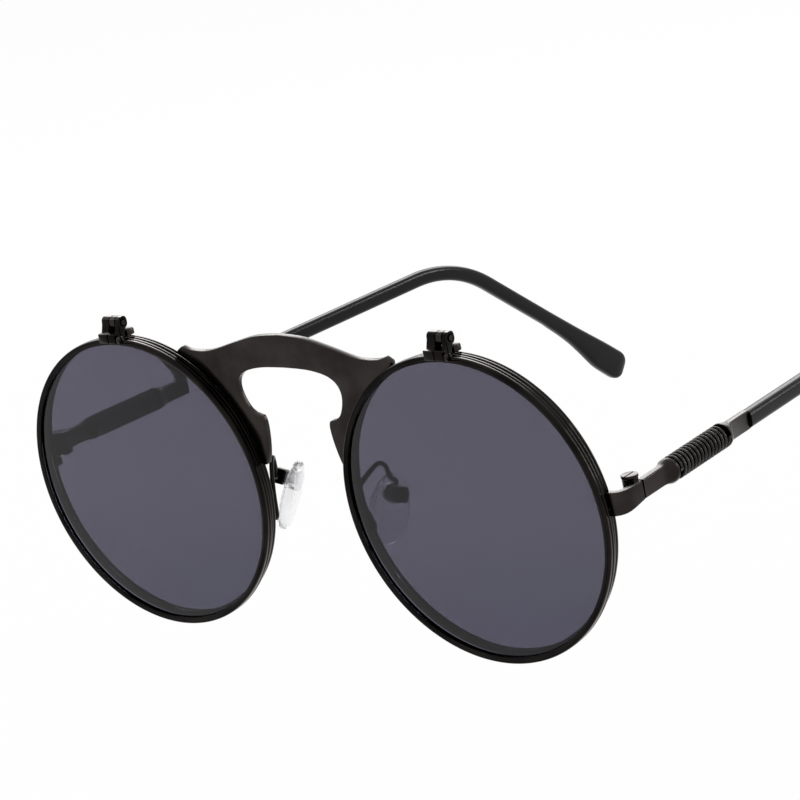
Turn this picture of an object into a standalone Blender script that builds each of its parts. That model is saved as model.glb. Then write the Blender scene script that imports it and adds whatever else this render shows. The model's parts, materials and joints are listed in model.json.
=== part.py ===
"""Round flip-up steampunk sunglasses, in metres, +Z up, front towards -Y.

The glasses stand open on their rims and temple tips. Pieces are modelled in the
glasses' own frame (x = 0 on the bridge, y = 0 on the front face of the flip-up
rims, z = 0 at the rims' centres), which hangs from the empty "stance". Left is
-X and right is +X, as someone sees them who looks at the front.
"""

import math

import bmesh
import bpy
from mathutils import Euler, Matrix, Vector
from mathutils.geometry import interpolate_bezier

# Clearances shared by all pieces
SEAT_GAP = 0.00025
FIT_GAP = 0.0002
OVERRUN = 0.002

# Rims and lenses
RIM_GAP = 0.0187
RIM_SEGMENTS = 48
FRONT_RIM_RADIUS = 0.0262
FRONT_RIM_DEPTH = 0.0014
FRONT_RIM_WIDTH = 0.0011
FRONT_RIM_DROP = 0.0003
RIM_STEP = 0.0005
REAR_RIM_DEPTH = 0.0014
REAR_RIM_WIDTH = 0.00105
REAR_RIM_Y = 0.0019
RIM_SPLIT = 0.00025
LENS_SEAT = 0.00035
LENS_SHOULDER = 0.0002
LENS_EDGE = 0.0003
LENS_THICKNESS = 0.0006
DARK_LENS_SAG = 0.0006
CLEAR_LENS_SAG = 0.0007

# Flip-up hinge over each rim
FLIP_PIN_X = 0.0004
FLIP_PIN_Y = 0.0012
FLIP_PIN_RISE = 0.00235
FLIP_PIN_RADIUS = 0.00045
FLIP_KNUCKLE_RADIUS = 0.00105
FLIP_KNUCKLE_LENGTH = 0.0011
FLIP_EAR_SPREAD = 0.0007
FLIP_LEG_FRONT = 0.00035
FLIP_EAR_LENGTHS = (0.0016, 0.00075)
FLIP_BASE_DEPTH = 0.0019
FLIP_BASE_HEIGHT = 0.0011
FLIP_BASE_EDGE = 0.0004
FLIP_BLOCK_LEFT = 0.0021
FLIP_BLOCK_RIGHT = 0.0019
FLIP_BLOCK_PROUD = 0.00135
FLIP_BLOCK_RISE = 0.0010
FLIP_BLOCK_EDGE = 0.0002
FLIP_SPLIT_X = 0.0001
FLIP_PIN_PROUD = 0.0002

# Screws: radii and head sizes
CLOSING_SCREW_RADIUS = 0.0003
CLOSING_SCREW_Y = -0.0007
CLOSING_SCREW_SINK = 0.0001
CLOSING_HEAD_RADIUS = 0.0007
CLOSING_HEAD_HEIGHT = 0.0005
SLOT_WIDTH = 0.0003
SLOT_DEPTH = 0.0002

# Bridge plate
BRIDGE_THICKNESS = 0.0012
BRIDGE_INSET = 0.00015
BRIDGE_EAR_SHORT = 0.01225
BRIDGE_RISE = 0.0010
BRIDGE_LEG_END = 0.0040
BRIDGE_EAR_TIP = 0.0007
ARCH_TOP = 0.02155
ARCH_HALF_WIDTH = 0.01125
BRIDGE_EDGE = 0.00018

# End piece and temple hinge
HINGE_OUT = 0.00065
HINGE_Y = 0.0074
HINGE_Z = 0.0025
HINGE_KNUCKLE_RADIUS = 0.0013
HINGE_KNUCKLE_HEIGHT = 0.0010
HINGE_SCREW_RADIUS = 0.0005
HINGE_HEAD_RADIUS = 0.0014
HINGE_HEAD_HEIGHT = 0.0004
BAR_OFFSET = 0.0017
BAR_THICKNESS = 0.0013
BAR_HEIGHT = 0.0031
BAR_EDGE = 0.0002
LUG_HEIGHT = 0.0040
LUG_DROP = 0.00055
LOCK_Z = 0.0012
LOCK_WIDTH = 0.0009
LOCK_HEIGHT = 0.0014
LOCK_DEPTH = 0.0016
LOCK_FOOT = 0.0004
LOCK_FOOT_SHORT = 0.0002
LOCK_SCREW_OUT = 0.0002
LOCK_SCREW_RADIUS = 0.0003
LOCK_HEAD_RADIUS = 0.00055

# Temple
TEMPLE_TOE_IN = math.radians(3.15)
TEMPLE_SLOPE = math.radians(2.35)
FRONT_BAR_LENGTH = 0.0083
COLLAR_LENGTH = 0.0008
TAPER_LENGTH = 0.0026
SPRING_WIRE = 0.00057
SPRING_RADIUS = 0.00180
SPRING_CURLS = 14
SPRING_PITCH = 0.00102
SPRING_POINTS = 8
ROD_RADIUS = 0.0011
REAR_BAR_LENGTH = 0.0073
TANG_RADIUS = 0.0005
TANG_SHORT_OF_END = 0.020
TIP_START_THICKNESS = 0.0023
TIP_START_HEIGHT = 0.0029
TIP_PADDLE_HEIGHT = 0.0059
TIP_PADDLE_THICKNESS = 0.0024
BEND_START = 0.0949
BEND_RADIUS = 0.032
BEND_ANGLE = math.radians(38.5)
TIP_STRAIGHT = 0.0466
TIP_END_POWER = 0.77
BORE_GAP = 0.00025

# Nose pads
PAD_CENTRES = {1: (0.0101, 0.0092, -0.0053), -1: (0.0120, 0.0092, -0.0046)}
PAD_TURNS = {
    1: (math.radians(-20), math.radians(-5), math.radians(-18)),
    -1: (math.radians(-22), math.radians(-20), math.radians(-18)),
}
PAD_LENGTH = 0.0117
PAD_WIDTH = 0.0073
PAD_THICKNESS = 0.0025
PAD_PLATE_RADIUS = 0.0016
PAD_PLATE_THICKNESS = 0.0005
PAD_TAB_THICKNESS = 0.0007
PAD_TAB_HEIGHT = 0.0016
PAD_BOX_RISE = 0.0026
PAD_BOX_DEPTH = 0.0022
PAD_BOX_WIDTH = 0.0024
PAD_BOX_HEIGHT = 0.0026
PAD_SCREW_RADIUS = 0.0003
PAD_SCREW_HEAD = 0.00065
PAD_SCREW_HEAD_HEIGHT = 0.0003
ARM_RADIUS = 0.0004
ARM_FOOT_Z = -0.0065
ARM_SIZE = 0.010

# Places that follow from the sizes above
RIM_X = FRONT_RIM_RADIUS + RIM_GAP / 2
REAR_RIM_RADIUS = FRONT_RIM_RADIUS - RIM_STEP
FLIP_PIN_Z = FRONT_RIM_RADIUS + FLIP_PIN_RISE
FLIP_BLOCK_TOP = FRONT_RIM_RADIUS + FLIP_BLOCK_RISE
CLOSING_SCREW_Z = FRONT_RIM_RADIUS - CLOSING_SCREW_SINK
BRIDGE_REACH = RIM_X - BRIDGE_EAR_SHORT
BRIDGE_TOP = FRONT_RIM_RADIUS + BRIDGE_RISE
HINGE_X = RIM_X + REAR_RIM_RADIUS + HINGE_OUT
HINGE_LIFT = BAR_HEIGHT / 2
REAR_RIM_BACK = REAR_RIM_Y + REAR_RIM_DEPTH
BRIDGE_Y = REAR_RIM_Y + BRIDGE_INSET
SPRING_START = FRONT_BAR_LENGTH
SPRING_LENGTH = SPRING_CURLS * SPRING_PITCH + SPRING_WIRE + SPRING_WIRE
REAR_BAR_START = SPRING_START + SPRING_LENGTH + SEAT_GAP + SEAT_GAP
TIP_START = REAR_BAR_START + REAR_BAR_LENGTH + SEAT_GAP


# Materials

def material(name, colour, roughness, metallic=0.0, transmission=0.0):
    """A Principled surface with one colour."""
    made = bpy.data.materials.new(name)
    made.use_nodes = True
    shader = made.node_tree.nodes["Principled BSDF"]
    shader.inputs["Base Color"].default_value = (*colour, 1.0)
    shader.inputs["Roughness"].default_value = roughness
    shader.inputs["Metallic"].default_value = metallic
    shader.inputs["Transmission Weight"].default_value = transmission
    made.diffuse_color = (*colour, 1.0)
    return made


# Mesh tools

def mesh_object(name, bm, surface):
    """An object made from a bmesh, with its faces turned outwards and shaded smooth."""
    bmesh.ops.recalc_face_normals(bm, faces=bm.faces)
    mesh = bpy.data.meshes.new(name)
    bm.to_mesh(mesh)
    bm.free()
    mesh.shade_smooth()
    mesh.set_sharp_from_angle(angle=math.radians(32))
    made = bpy.data.objects.new(name, mesh)
    made.data.materials.append(surface)
    bpy.context.scene.collection.objects.link(made)
    return made


def revolved(profile, segments, name, surface, axis="Y"):
    """A turned solid: profile points are (radius, along); a radius of zero is a pole."""
    bm = bmesh.new()
    rings = []
    for radius, along in profile:
        if radius == 0:
            rings.append([bm.verts.new((0, along, 0))] * segments)
            continue
        ring = []
        for index in range(segments):
            angle = math.tau * index / segments
            ring.append(bm.verts.new((radius * math.cos(angle), along, radius * math.sin(angle))))
        rings.append(ring)
    closed = profile[0][0] > 0
    pairs = list(zip(rings, rings[1:])) + ([(rings[-1], rings[0])] if closed else [])
    for first, second in pairs:
        for index in range(segments):
            after = (index + 1) % segments
            corners = [first[index], first[after], second[after], second[index]]
            face = list(dict.fromkeys(corners))
            if len(face) > 2:
                bm.faces.new(face)
    made = mesh_object(name, bm, surface)
    if axis == "X":
        made.data.transform(Matrix.Rotation(math.radians(-90), 4, "Z"))
    if axis == "Z":
        made.data.transform(Matrix.Rotation(math.radians(90), 4, "X"))
    return made


def box(low, high, name, surface):
    """A block between two corners."""
    bm = bmesh.new()
    bmesh.ops.create_cube(bm, size=1.0)
    for vertex in bm.verts:
        vertex.co = Vector(
            (low[axis] + (vertex.co[axis] + 0.5) * (high[axis] - low[axis]) for axis in range(3))
        )
    return mesh_object(name, bm, surface)


def rod(start, end, radius, segments, name, surface):
    """A plain cylinder from one point to another."""
    start = Vector(start)
    along = Vector(end) - start
    profile = [(0, 0), (radius, 0), (radius, along.length), (0, along.length)]
    made = revolved(profile, segments, name, surface)
    turn = Vector((0, 1, 0)).rotation_difference(along)
    made.data.transform(Matrix.Translation(start) @ turn.to_matrix().to_4x4())
    return made


def lofted(sections, name, surface):
    """A skin through rings of the same number of points, closed at both ends."""
    bm = bmesh.new()
    rings = [[bm.verts.new(point) for point in section] for section in sections]
    for first, second in zip(rings, rings[1:]):
        for index in range(len(first)):
            after = (index + 1) % len(first)
            bm.faces.new([first[index], first[after], second[after], second[index]])
    bm.faces.new(rings[0])
    bm.faces.new(rings[-1])
    return mesh_object(name, bm, surface)


def tube(points, radius, sides, name, surface):
    """A round bar along a path, with flat ends; its frame is carried along without twist."""
    points = [Vector(point) for point in points]
    sections = []
    side = None
    for index, point in enumerate(points):
        before = points[max(index - 1, 0)]
        after = points[min(index + 1, len(points) - 1)]
        along = (after - before).normalized()
        if side is None:
            side = along.orthogonal().normalized()
        side = (side - along * side.dot(along)).normalized()
        across = along.cross(side)
        section = []
        for step in range(sides):
            angle = math.tau * step / sides
            section.append(point + radius * (math.cos(angle) * side + math.sin(angle) * across))
        sections.append(section)
    return lofted(sections, name, surface)


def prism(outline, low, high, axis, name, surface, edge=0.0):
    """A flat outline extruded along one axis; the outline's two values follow the other axes."""
    places = {
        "X": lambda along, first, second: (along, first, second),
        "Y": lambda along, first, second: (first, along, second),
        "Z": lambda along, first, second: (first, second, along),
    }
    place = places[axis]
    sections = [[place(along, *point) for point in outline] for along in (low, high)]
    made = lofted(sections, name, surface)
    if edge > 0:
        rounded(made, edge)
    return made


def finished(made):
    """Turns an object's modifiers into its mesh."""
    graph = bpy.context.evaluated_depsgraph_get()
    mesh = bpy.data.meshes.new_from_object(made.evaluated_get(graph))
    old = made.data
    made.modifiers.clear()
    made.data = mesh
    mesh.name = made.name
    bpy.data.meshes.remove(old)
    mesh.shade_smooth()
    mesh.set_sharp_from_angle(angle=math.radians(32))


def rounded(made, width, segments=1):
    """Rounds an object's sharp edges."""
    bevel = made.modifiers.new("edge", "BEVEL")
    bevel.width = width
    bevel.segments = segments
    bevel.limit_method = "ANGLE"
    bevel.angle_limit = math.radians(35)
    finished(made)


def combined(made, others, operation):
    """Joins or cuts an object with others, which are used up."""
    for other in others:
        boolean = made.modifiers.new(operation, "BOOLEAN")
        boolean.operation = operation
        boolean.solver = "EXACT"
        boolean.object = other
    finished(made)
    for other in others:
        bpy.data.objects.remove(other)
    return made


def mirrored(made, name):
    """A copy on the other side of the YZ plane of its parent."""
    mesh = made.data.copy()
    mesh.name = name
    mesh.transform(Matrix.Scale(-1, 4, Vector((1, 0, 0))))
    mesh.flip_normals()
    copy = bpy.data.objects.new(name, mesh)
    bpy.context.scene.collection.objects.link(copy)
    return copy


def placed(made, parent, location=(0, 0, 0)):
    made.parent = parent
    made.location = location
    return made


def empty(name, parent=None, location=(0, 0, 0), turn=(0, 0, 0), order="XYZ"):
    made = bpy.data.objects.new(name, None)
    bpy.context.scene.collection.objects.link(made)
    made.parent = parent
    made.location = location
    made.rotation_mode = order
    made.rotation_euler = turn
    return made


def smooth_path(points, steps):
    """A curve through points, as short Bezier runs with tangents from their neighbours."""
    points = [Vector(point) for point in points]
    path = [points[0]]
    for index in range(len(points) - 1):
        start = points[index]
        end = points[index + 1]
        before = points[max(index - 1, 0)]
        after = points[min(index + 2, len(points) - 1)]
        first = start + (end - before) / 6
        second = end - (after - start) / 6
        path.extend(interpolate_bezier(start, first, second, end, steps + 1)[1:])
    return path


# Rims and lenses

def ring_section(radius, width, low, depth, shares):
    """Points of a ring's section from shares of its width (inwards) and depth (backwards)."""
    return [(radius - inwards * width, low + back * depth) for inwards, back in shares]


def rim_section(radius, width, low, depth, front_shares, back_shares, lens_y):
    """A rim's closed section: its front, a groove that takes the lens edge, and its back."""
    inner = radius - width
    slope = (LENS_THICKNESS - LENS_EDGE) / 2 / (LENS_SEAT + LENS_SHOULDER)
    bottom = inner + LENS_SEAT + FIT_GAP
    deep = LENS_EDGE / 2 + FIT_GAP
    wide = deep + slope * LENS_SEAT
    groove = [(inner, lens_y - wide), (bottom, lens_y - deep), (bottom, lens_y + deep)]
    groove.append((inner, lens_y + wide))
    front = ring_section(radius, width, low, depth, front_shares)
    back = ring_section(radius, width, low, depth, back_shares)
    return front + groove + back


# Front rim: a face with both edges taken off; then the plain back
FRONT_FACE_SHARES = ((0.0, 0.16), (0.18, 0.0), (0.80, 0.0), (1.0, 0.10))
FRONT_BACK_SHARES = ((1.0, 1.0), (0.0, 1.0))
# The rear rim is rounded towards the face
REAR_FACE_SHARES = ((0.0, 0.12), (0.14, 0.0), (1.0, 0.0))
REAR_BACK_SHARES = ((1.0, 1.0), (0.40, 1.0), (0.0, 0.80))


def build_lens(name, radius, edge_y, sag, surface):
    """A lens: two like curves, and an edge bevelled on both sides to sit in its rim's groove."""
    half = LENS_THICKNESS / 2
    shoulder = radius - LENS_SEAT - LENS_SHOULDER
    middle_share = 0.55
    faces = []
    for side in (-1, 1):
        run = []
        for share in (0.0, middle_share, 1.0):
            dome = -sag * (1 - share ** 2)
            run.append((shoulder * share, edge_y + dome + side * half))
        faces.append(run)
    edge = [(radius, edge_y - LENS_EDGE / 2), (radius, edge_y + LENS_EDGE / 2)]
    return revolved(faces[0] + edge + faces[1][::-1], RIM_SEGMENTS, name, surface)


FRONT_LENS_RADIUS = FRONT_RIM_RADIUS - FRONT_RIM_WIDTH + LENS_SEAT
FRONT_LENS_Y = FRONT_RIM_DEPTH / 2
REAR_LENS_RADIUS = REAR_RIM_RADIUS - REAR_RIM_WIDTH + LENS_SEAT
REAR_LENS_Y = REAR_RIM_Y + REAR_RIM_DEPTH / 2
FLIP_EAR_START = FLIP_KNUCKLE_LENGTH / 2 + FIT_GAP
FLIP_EAR_ENDS = (
    (FLIP_PIN_X - FLIP_EAR_START - FLIP_EAR_LENGTHS[0], FLIP_PIN_X - FLIP_EAR_START),
    (FLIP_PIN_X + FLIP_EAR_START, FLIP_PIN_X + FLIP_EAR_START + FLIP_EAR_LENGTHS[1]),
)


def build_front_rim(name, surface):
    """The flip-up rim: a split ring, its closing block and the two ears of the hinge."""
    section = rim_section(
        FRONT_RIM_RADIUS, FRONT_RIM_WIDTH, 0, FRONT_RIM_DEPTH,
        FRONT_FACE_SHARES, FRONT_BACK_SHARES, FRONT_LENS_Y,
    )
    rim = revolved(section, RIM_SEGMENTS, name, surface)
    rim.data.transform(Matrix.Translation((0, 0, -FRONT_RIM_DROP)))
    inner = FRONT_RIM_RADIUS - FRONT_RIM_WIDTH - FRONT_RIM_DROP
    back = FRONT_RIM_DEPTH - FLIP_BLOCK_EDGE
    block = box(
        (-FLIP_BLOCK_LEFT, -FLIP_BLOCK_PROUD, inner + LENS_SEAT + FIT_GAP + FIT_GAP),
        (FLIP_BLOCK_RIGHT, back - FLIP_BLOCK_EDGE / 2, FLIP_BLOCK_TOP),
        "block", surface,
    )
    rounded(block, FLIP_BLOCK_EDGE)
    low = FLIP_BLOCK_TOP - FLIP_BLOCK_EDGE - FLIP_BLOCK_EDGE
    outline = ear_outline(low - FLIP_PIN_Z, back - FLIP_PIN_Y)
    ears = []
    for inner, outer in FLIP_EAR_ENDS:
        ear = prism(outline, inner, outer, "X", "ear", surface)
        ear.data.transform(Matrix.Translation((0, FLIP_PIN_Y, FLIP_PIN_Z)))
        ears.append(ear)
    combined(rim, [block] + ears, "UNION")
    split = box(
        (FLIP_SPLIT_X - RIM_SPLIT / 2, -OVERRUN, inner - OVERRUN),
        (FLIP_SPLIT_X + RIM_SPLIT / 2, FRONT_RIM_DEPTH + OVERRUN, FLIP_BLOCK_TOP + OVERRUN),
        "split", surface,
    )
    room = CLOSING_HEAD_RADIUS + FIT_GAP
    notch = box(
        (FLIP_BLOCK_RIGHT - FLIP_BLOCK_EDGE / 2, -OVERRUN, CLOSING_SCREW_Z - room),
        (FLIP_BLOCK_RIGHT + OVERRUN, CLOSING_SCREW_Y + room, FRONT_RIM_RADIUS + OVERRUN),
        "notch", surface,
    )
    pin_hole = rod(
        (FLIP_EAR_ENDS[0][0] - OVERRUN, FLIP_PIN_Y, FLIP_PIN_Z),
        (FLIP_EAR_ENDS[1][1] + OVERRUN, FLIP_PIN_Y, FLIP_PIN_Z),
        FLIP_PIN_RADIUS + FIT_GAP, 16, "pin hole", surface,
    )
    screw_hole = rod(
        (-FLIP_BLOCK_LEFT - OVERRUN, CLOSING_SCREW_Y, CLOSING_SCREW_Z),
        (FLIP_BLOCK_RIGHT + OVERRUN, CLOSING_SCREW_Y, CLOSING_SCREW_Z),
        CLOSING_SCREW_RADIUS + FIT_GAP, 12, "screw hole", surface,
    )
    return combined(rim, [split, notch, pin_hole, screw_hole], "DIFFERENCE")


def eye_outline(first, last):
    """Part of a hinge eye's outline about the pin, a little squarer than a circle."""
    steps = 14
    square_power = 0.75
    points = []
    for step in range(steps + 1):
        angle = math.radians(first + (last - first) * step / steps)
        points.append(tuple(
            FLIP_KNUCKLE_RADIUS * math.copysign(abs(share) ** square_power, share)
            for share in (math.cos(angle), math.sin(angle))
        ))
    return points


def ear_outline(foot, back):
    """A hinge ear from the side, about the pin: an eye on a leg that spreads to the front."""
    front = -FLIP_KNUCKLE_RADIUS - FLIP_EAR_SPREAD
    return [(front, foot), (back, foot)] + eye_outline(-75, 180)


CROWN_SHARE = 0.33


def build_screw(name, head_radius, head_height, radius, length, surface, segments=16):
    """A slotted screw along +Y: the head's seat is at y = 0 and the head lies before it."""
    crown = head_height * CROWN_SHARE
    profile = [
        (0, -head_height), (head_radius - crown, -head_height), (head_radius, -head_height + crown),
        (head_radius, 0), (radius, 0), (radius, length), (0, length),
    ]
    screw = revolved(profile, segments, name, surface)
    slot = box(
        (-SLOT_WIDTH / 2, -head_height - OVERRUN, -head_radius - OVERRUN),
        (SLOT_WIDTH / 2, SLOT_DEPTH - head_height, head_radius + OVERRUN),
        "slot", surface,
    )
    return combined(screw, [slot], "DIFFERENCE")


def build_closing_screw(name, surface):
    """The front rim's closing screw, driven from +X."""
    length = FLIP_BLOCK_LEFT + FLIP_BLOCK_RIGHT
    screw = build_screw(
        name, CLOSING_HEAD_RADIUS, CLOSING_HEAD_HEIGHT, CLOSING_SCREW_RADIUS, length, surface
    )
    screw.data.transform(Matrix.Rotation(math.radians(90), 4, "Z"))
    seat = (FLIP_BLOCK_RIGHT + FIT_GAP, CLOSING_SCREW_Y, CLOSING_SCREW_Z)
    screw.data.transform(Matrix.Translation(seat))
    return screw


def build_rear_rim(name, surface):
    """The fixed rim (right side): a split ring with two lock blocks at the temple side."""
    section = rim_section(
        REAR_RIM_RADIUS, REAR_RIM_WIDTH, REAR_RIM_Y, REAR_RIM_DEPTH,
        REAR_FACE_SHARES, REAR_BACK_SHARES, REAR_LENS_Y,
    )
    rim = revolved(section, RIM_SEGMENTS, name, surface)
    foot_x = REAR_RIM_RADIUS - LOCK_FOOT_SHORT
    foot_y = REAR_RIM_BACK - LOCK_FOOT
    far_x = REAR_RIM_RADIUS + LOCK_WIDTH
    far_y = LOCK_Y + LOCK_DEPTH
    outline = (
        (LOCK_INNER_X, foot_y), (foot_x, foot_y), (foot_x, LOCK_Y), (far_x, LOCK_Y),
        (far_x, far_y), (LOCK_INNER_X, far_y),
    )
    lock = prism(outline, LOCK_Z - LOCK_HEIGHT, LOCK_Z + LOCK_HEIGHT, "Z", "lock", surface)
    combined(rim, [lock], "UNION")
    split = box(
        (LOCK_INNER_X - REAR_RIM_WIDTH - OVERRUN, 0, LOCK_Z - RIM_SPLIT / 2),
        (REAR_RIM_RADIUS + OVERRUN, REAR_RIM_BACK + OVERRUN, LOCK_Z + RIM_SPLIT / 2),
        "split", surface,
    )
    hole = rod(
        (LOCK_SCREW_X, LOCK_SCREW_Y, LOCK_Z - LOCK_HEIGHT - OVERRUN),
        (LOCK_SCREW_X, LOCK_SCREW_Y, LOCK_Z + LOCK_HEIGHT + OVERRUN),
        LOCK_SCREW_RADIUS + FIT_GAP, 12, "hole", surface,
    )
    return combined(rim, [split, hole], "DIFFERENCE")


LOCK_INNER_X = REAR_RIM_RADIUS - REAR_RIM_WIDTH / 2
LOCK_Y = REAR_RIM_Y + BAR_THICKNESS + SEAT_GAP
LOCK_SCREW_X = REAR_RIM_RADIUS + LOCK_SCREW_OUT
LOCK_SCREW_Y = LOCK_Y + LOCK_DEPTH / 2


def build_lock_screw(name, surface):
    screw = build_screw(
        name, LOCK_HEAD_RADIUS, CLOSING_HEAD_HEIGHT, LOCK_SCREW_RADIUS,
        LOCK_HEIGHT + LOCK_HEIGHT, surface, 12,
    )
    screw.data.transform(Matrix.Rotation(math.radians(-90), 4, "X"))
    seat = (LOCK_SCREW_X, LOCK_SCREW_Y, LOCK_Z + LOCK_HEIGHT + FIT_GAP)
    screw.data.transform(Matrix.Translation(seat))
    return screw


# Flip-up hinge

# A side outline of the middle knuckle: behind the front rim's block its leg runs down;
# shares of the way back to the base's rear and of the height over the base's top
KNUCKLE_SHARES = ((0.30, -0.45), (0.52, -0.45), (0.44, 0.0), (0.41, 0.55))


def build_flip_bracket(name, surface):
    """The bracket over the rear rim: a rounded base and the hinge's middle knuckle."""
    base_front = FRONT_RIM_DEPTH + SEAT_GAP
    base_back = base_front + FLIP_BASE_DEPTH
    top = REAR_RIM_RADIUS + SEAT_GAP + FLIP_BASE_HEIGHT
    low_x = FLIP_EAR_ENDS[0][0]
    high_x = FLIP_EAR_ENDS[1][1]
    base = box(
        (low_x, base_front, REAR_RIM_RADIUS - REAR_RIM_WIDTH), (high_x, base_back, top),
        name, surface,
    )
    rounded(base, FLIP_BASE_EDGE, 2)
    behind = base_back - FLIP_PIN_Y
    above = FLIP_PIN_Z - top
    outline = [(back * behind, tall * above - above) for back, tall in KNUCKLE_SHARES]
    outline += eye_outline(0, 270) + [(FLIP_LEG_FRONT, -FLIP_KNUCKLE_RADIUS)]
    half = FLIP_KNUCKLE_LENGTH / 2
    knuckle = prism(outline, -half, half, "X", "knuckle", surface)
    knuckle.data.transform(Matrix.Translation((FLIP_PIN_X, FLIP_PIN_Y, FLIP_PIN_Z)))
    combined(base, [knuckle], "UNION")
    hole = rod(
        (low_x - OVERRUN, FLIP_PIN_Y, FLIP_PIN_Z), (high_x + OVERRUN, FLIP_PIN_Y, FLIP_PIN_Z),
        FLIP_PIN_RADIUS + FIT_GAP, 16, "pin hole", surface,
    )
    section = ring_section(
        REAR_RIM_RADIUS + SEAT_GAP, REAR_RIM_WIDTH + OVERRUN, 0, REAR_RIM_BACK + OVERRUN,
        ((0.0, 0.0), (1.0, 0.0), (1.0, 1.0), (0.0, 1.0)),
    )
    seat = revolved(section, RIM_SEGMENTS, "seat", surface)
    return combined(base, [hole, seat], "DIFFERENCE")


def build_flip_pin(name, surface):
    low = FLIP_EAR_ENDS[0][0] - FLIP_PIN_PROUD
    high = FLIP_EAR_ENDS[1][1] + FLIP_PIN_PROUD
    return rod(
        (low, FLIP_PIN_Y, FLIP_PIN_Z), (high, FLIP_PIN_Y, FLIP_PIN_Z),
        FLIP_PIN_RADIUS, 16, name, surface,
    )


# Bridge plate

# Top edge from the middle to the ear, as shares of the reach and of the crown's height
BRIDGE_TOP_SHARES = (
    (0.0, 1.0), (0.22, 0.984), (0.43, 0.938), (0.64, 0.886),
    (0.76, 0.871), (0.88, 0.875), (0.955, 0.893),
)
# Nose arch from its top to the barb, then down the leg, as shares of its half width and top
ARCH_SHARES = (
    (0.0, 1.0), (0.44, 0.991), (0.77, 0.955), (0.94, 0.896), (1.0, 0.815), (0.97, 0.722),
    (0.89, 0.640), (0.80, 0.604),
)
# The ear's blunt tip from its seat on the rim, as shares of the tip's height
BRIDGE_TIP_SHARES = ((-0.35, 1.25), (0.10, 0.95))
LEG_SHARES = ((0.665, 0.585), (0.638, 0.530), (0.655, 0.410), (0.71, 0.270), (0.775, 0.185))


def bridge_half():
    """The right half of the bridge's outline, from the crown round to the arch's top."""
    radius = REAR_RIM_RADIUS + SEAT_GAP
    top = [Vector((x * BRIDGE_REACH, z * BRIDGE_TOP, 0)) for x, z in BRIDGE_TOP_SHARES]
    edge = smooth_path(top, 2)
    first = math.pi - math.acos((RIM_X - BRIDGE_REACH) / radius)
    last = math.pi - math.asin(BRIDGE_LEG_END / radius)
    seat = Vector((RIM_X + radius * math.cos(first), radius * math.sin(first), 0))
    tip = [seat + BRIDGE_EAR_TIP * Vector((*share, 0)) for share in BRIDGE_TIP_SHARES]
    steps = 14
    rim = []
    for step in range(steps + 1):
        angle = first + (last - first) * step / steps
        rim.append(Vector((RIM_X + radius * math.cos(angle), radius * math.sin(angle), 0)))
    leg = [Vector((x * ARCH_HALF_WIDTH, z * ARCH_TOP, 0)) for x, z in LEG_SHARES]
    arch = [Vector((x * ARCH_HALF_WIDTH, z * ARCH_TOP, 0)) for x, z in ARCH_SHARES]
    inner = smooth_path(leg[::-1], 2) + smooth_path(arch[::-1], 2)
    return edge + tip + rim + inner


def build_bridge(name, surface):
    half = [(point.x, point.y) for point in bridge_half()]
    other = [(-x, z) for x, z in half[1:-1]][::-1]
    return prism(
        half + other, BRIDGE_Y, BRIDGE_Y + BRIDGE_THICKNESS, "Y", name, surface, BRIDGE_EDGE
    )


# End piece and temple hinge

def bar_section(centre, across, up, thickness, height, edge):
    """An eight-sided bar section: a rectangle with its corners taken off."""
    half = thickness / 2
    tall = height / 2
    points = []
    for x, z in (
        (half, -tall + edge), (half, tall - edge), (half - edge, tall), (edge - half, tall),
        (-half, tall - edge), (-half, edge - tall), (edge - half, -tall), (half - edge, -tall),
    ):
        points.append(centre + x * across + z * up)
    return points


# The end piece runs out from the rim, round a corner and back to the hinge:
# shares of its way out, its way back and its growth in height, which also lowers it
LUG_SHARES = (
    (0.0, 0.0, 1.0), (0.40, 0.0, 0.85), (0.72, 0.07, 0.72), (0.90, 0.20, 0.60), (0.98, 0.40, 0.45),
    (1.0, 0.70, 0.24), (1.0, 1.0, 0.06),
)


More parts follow.
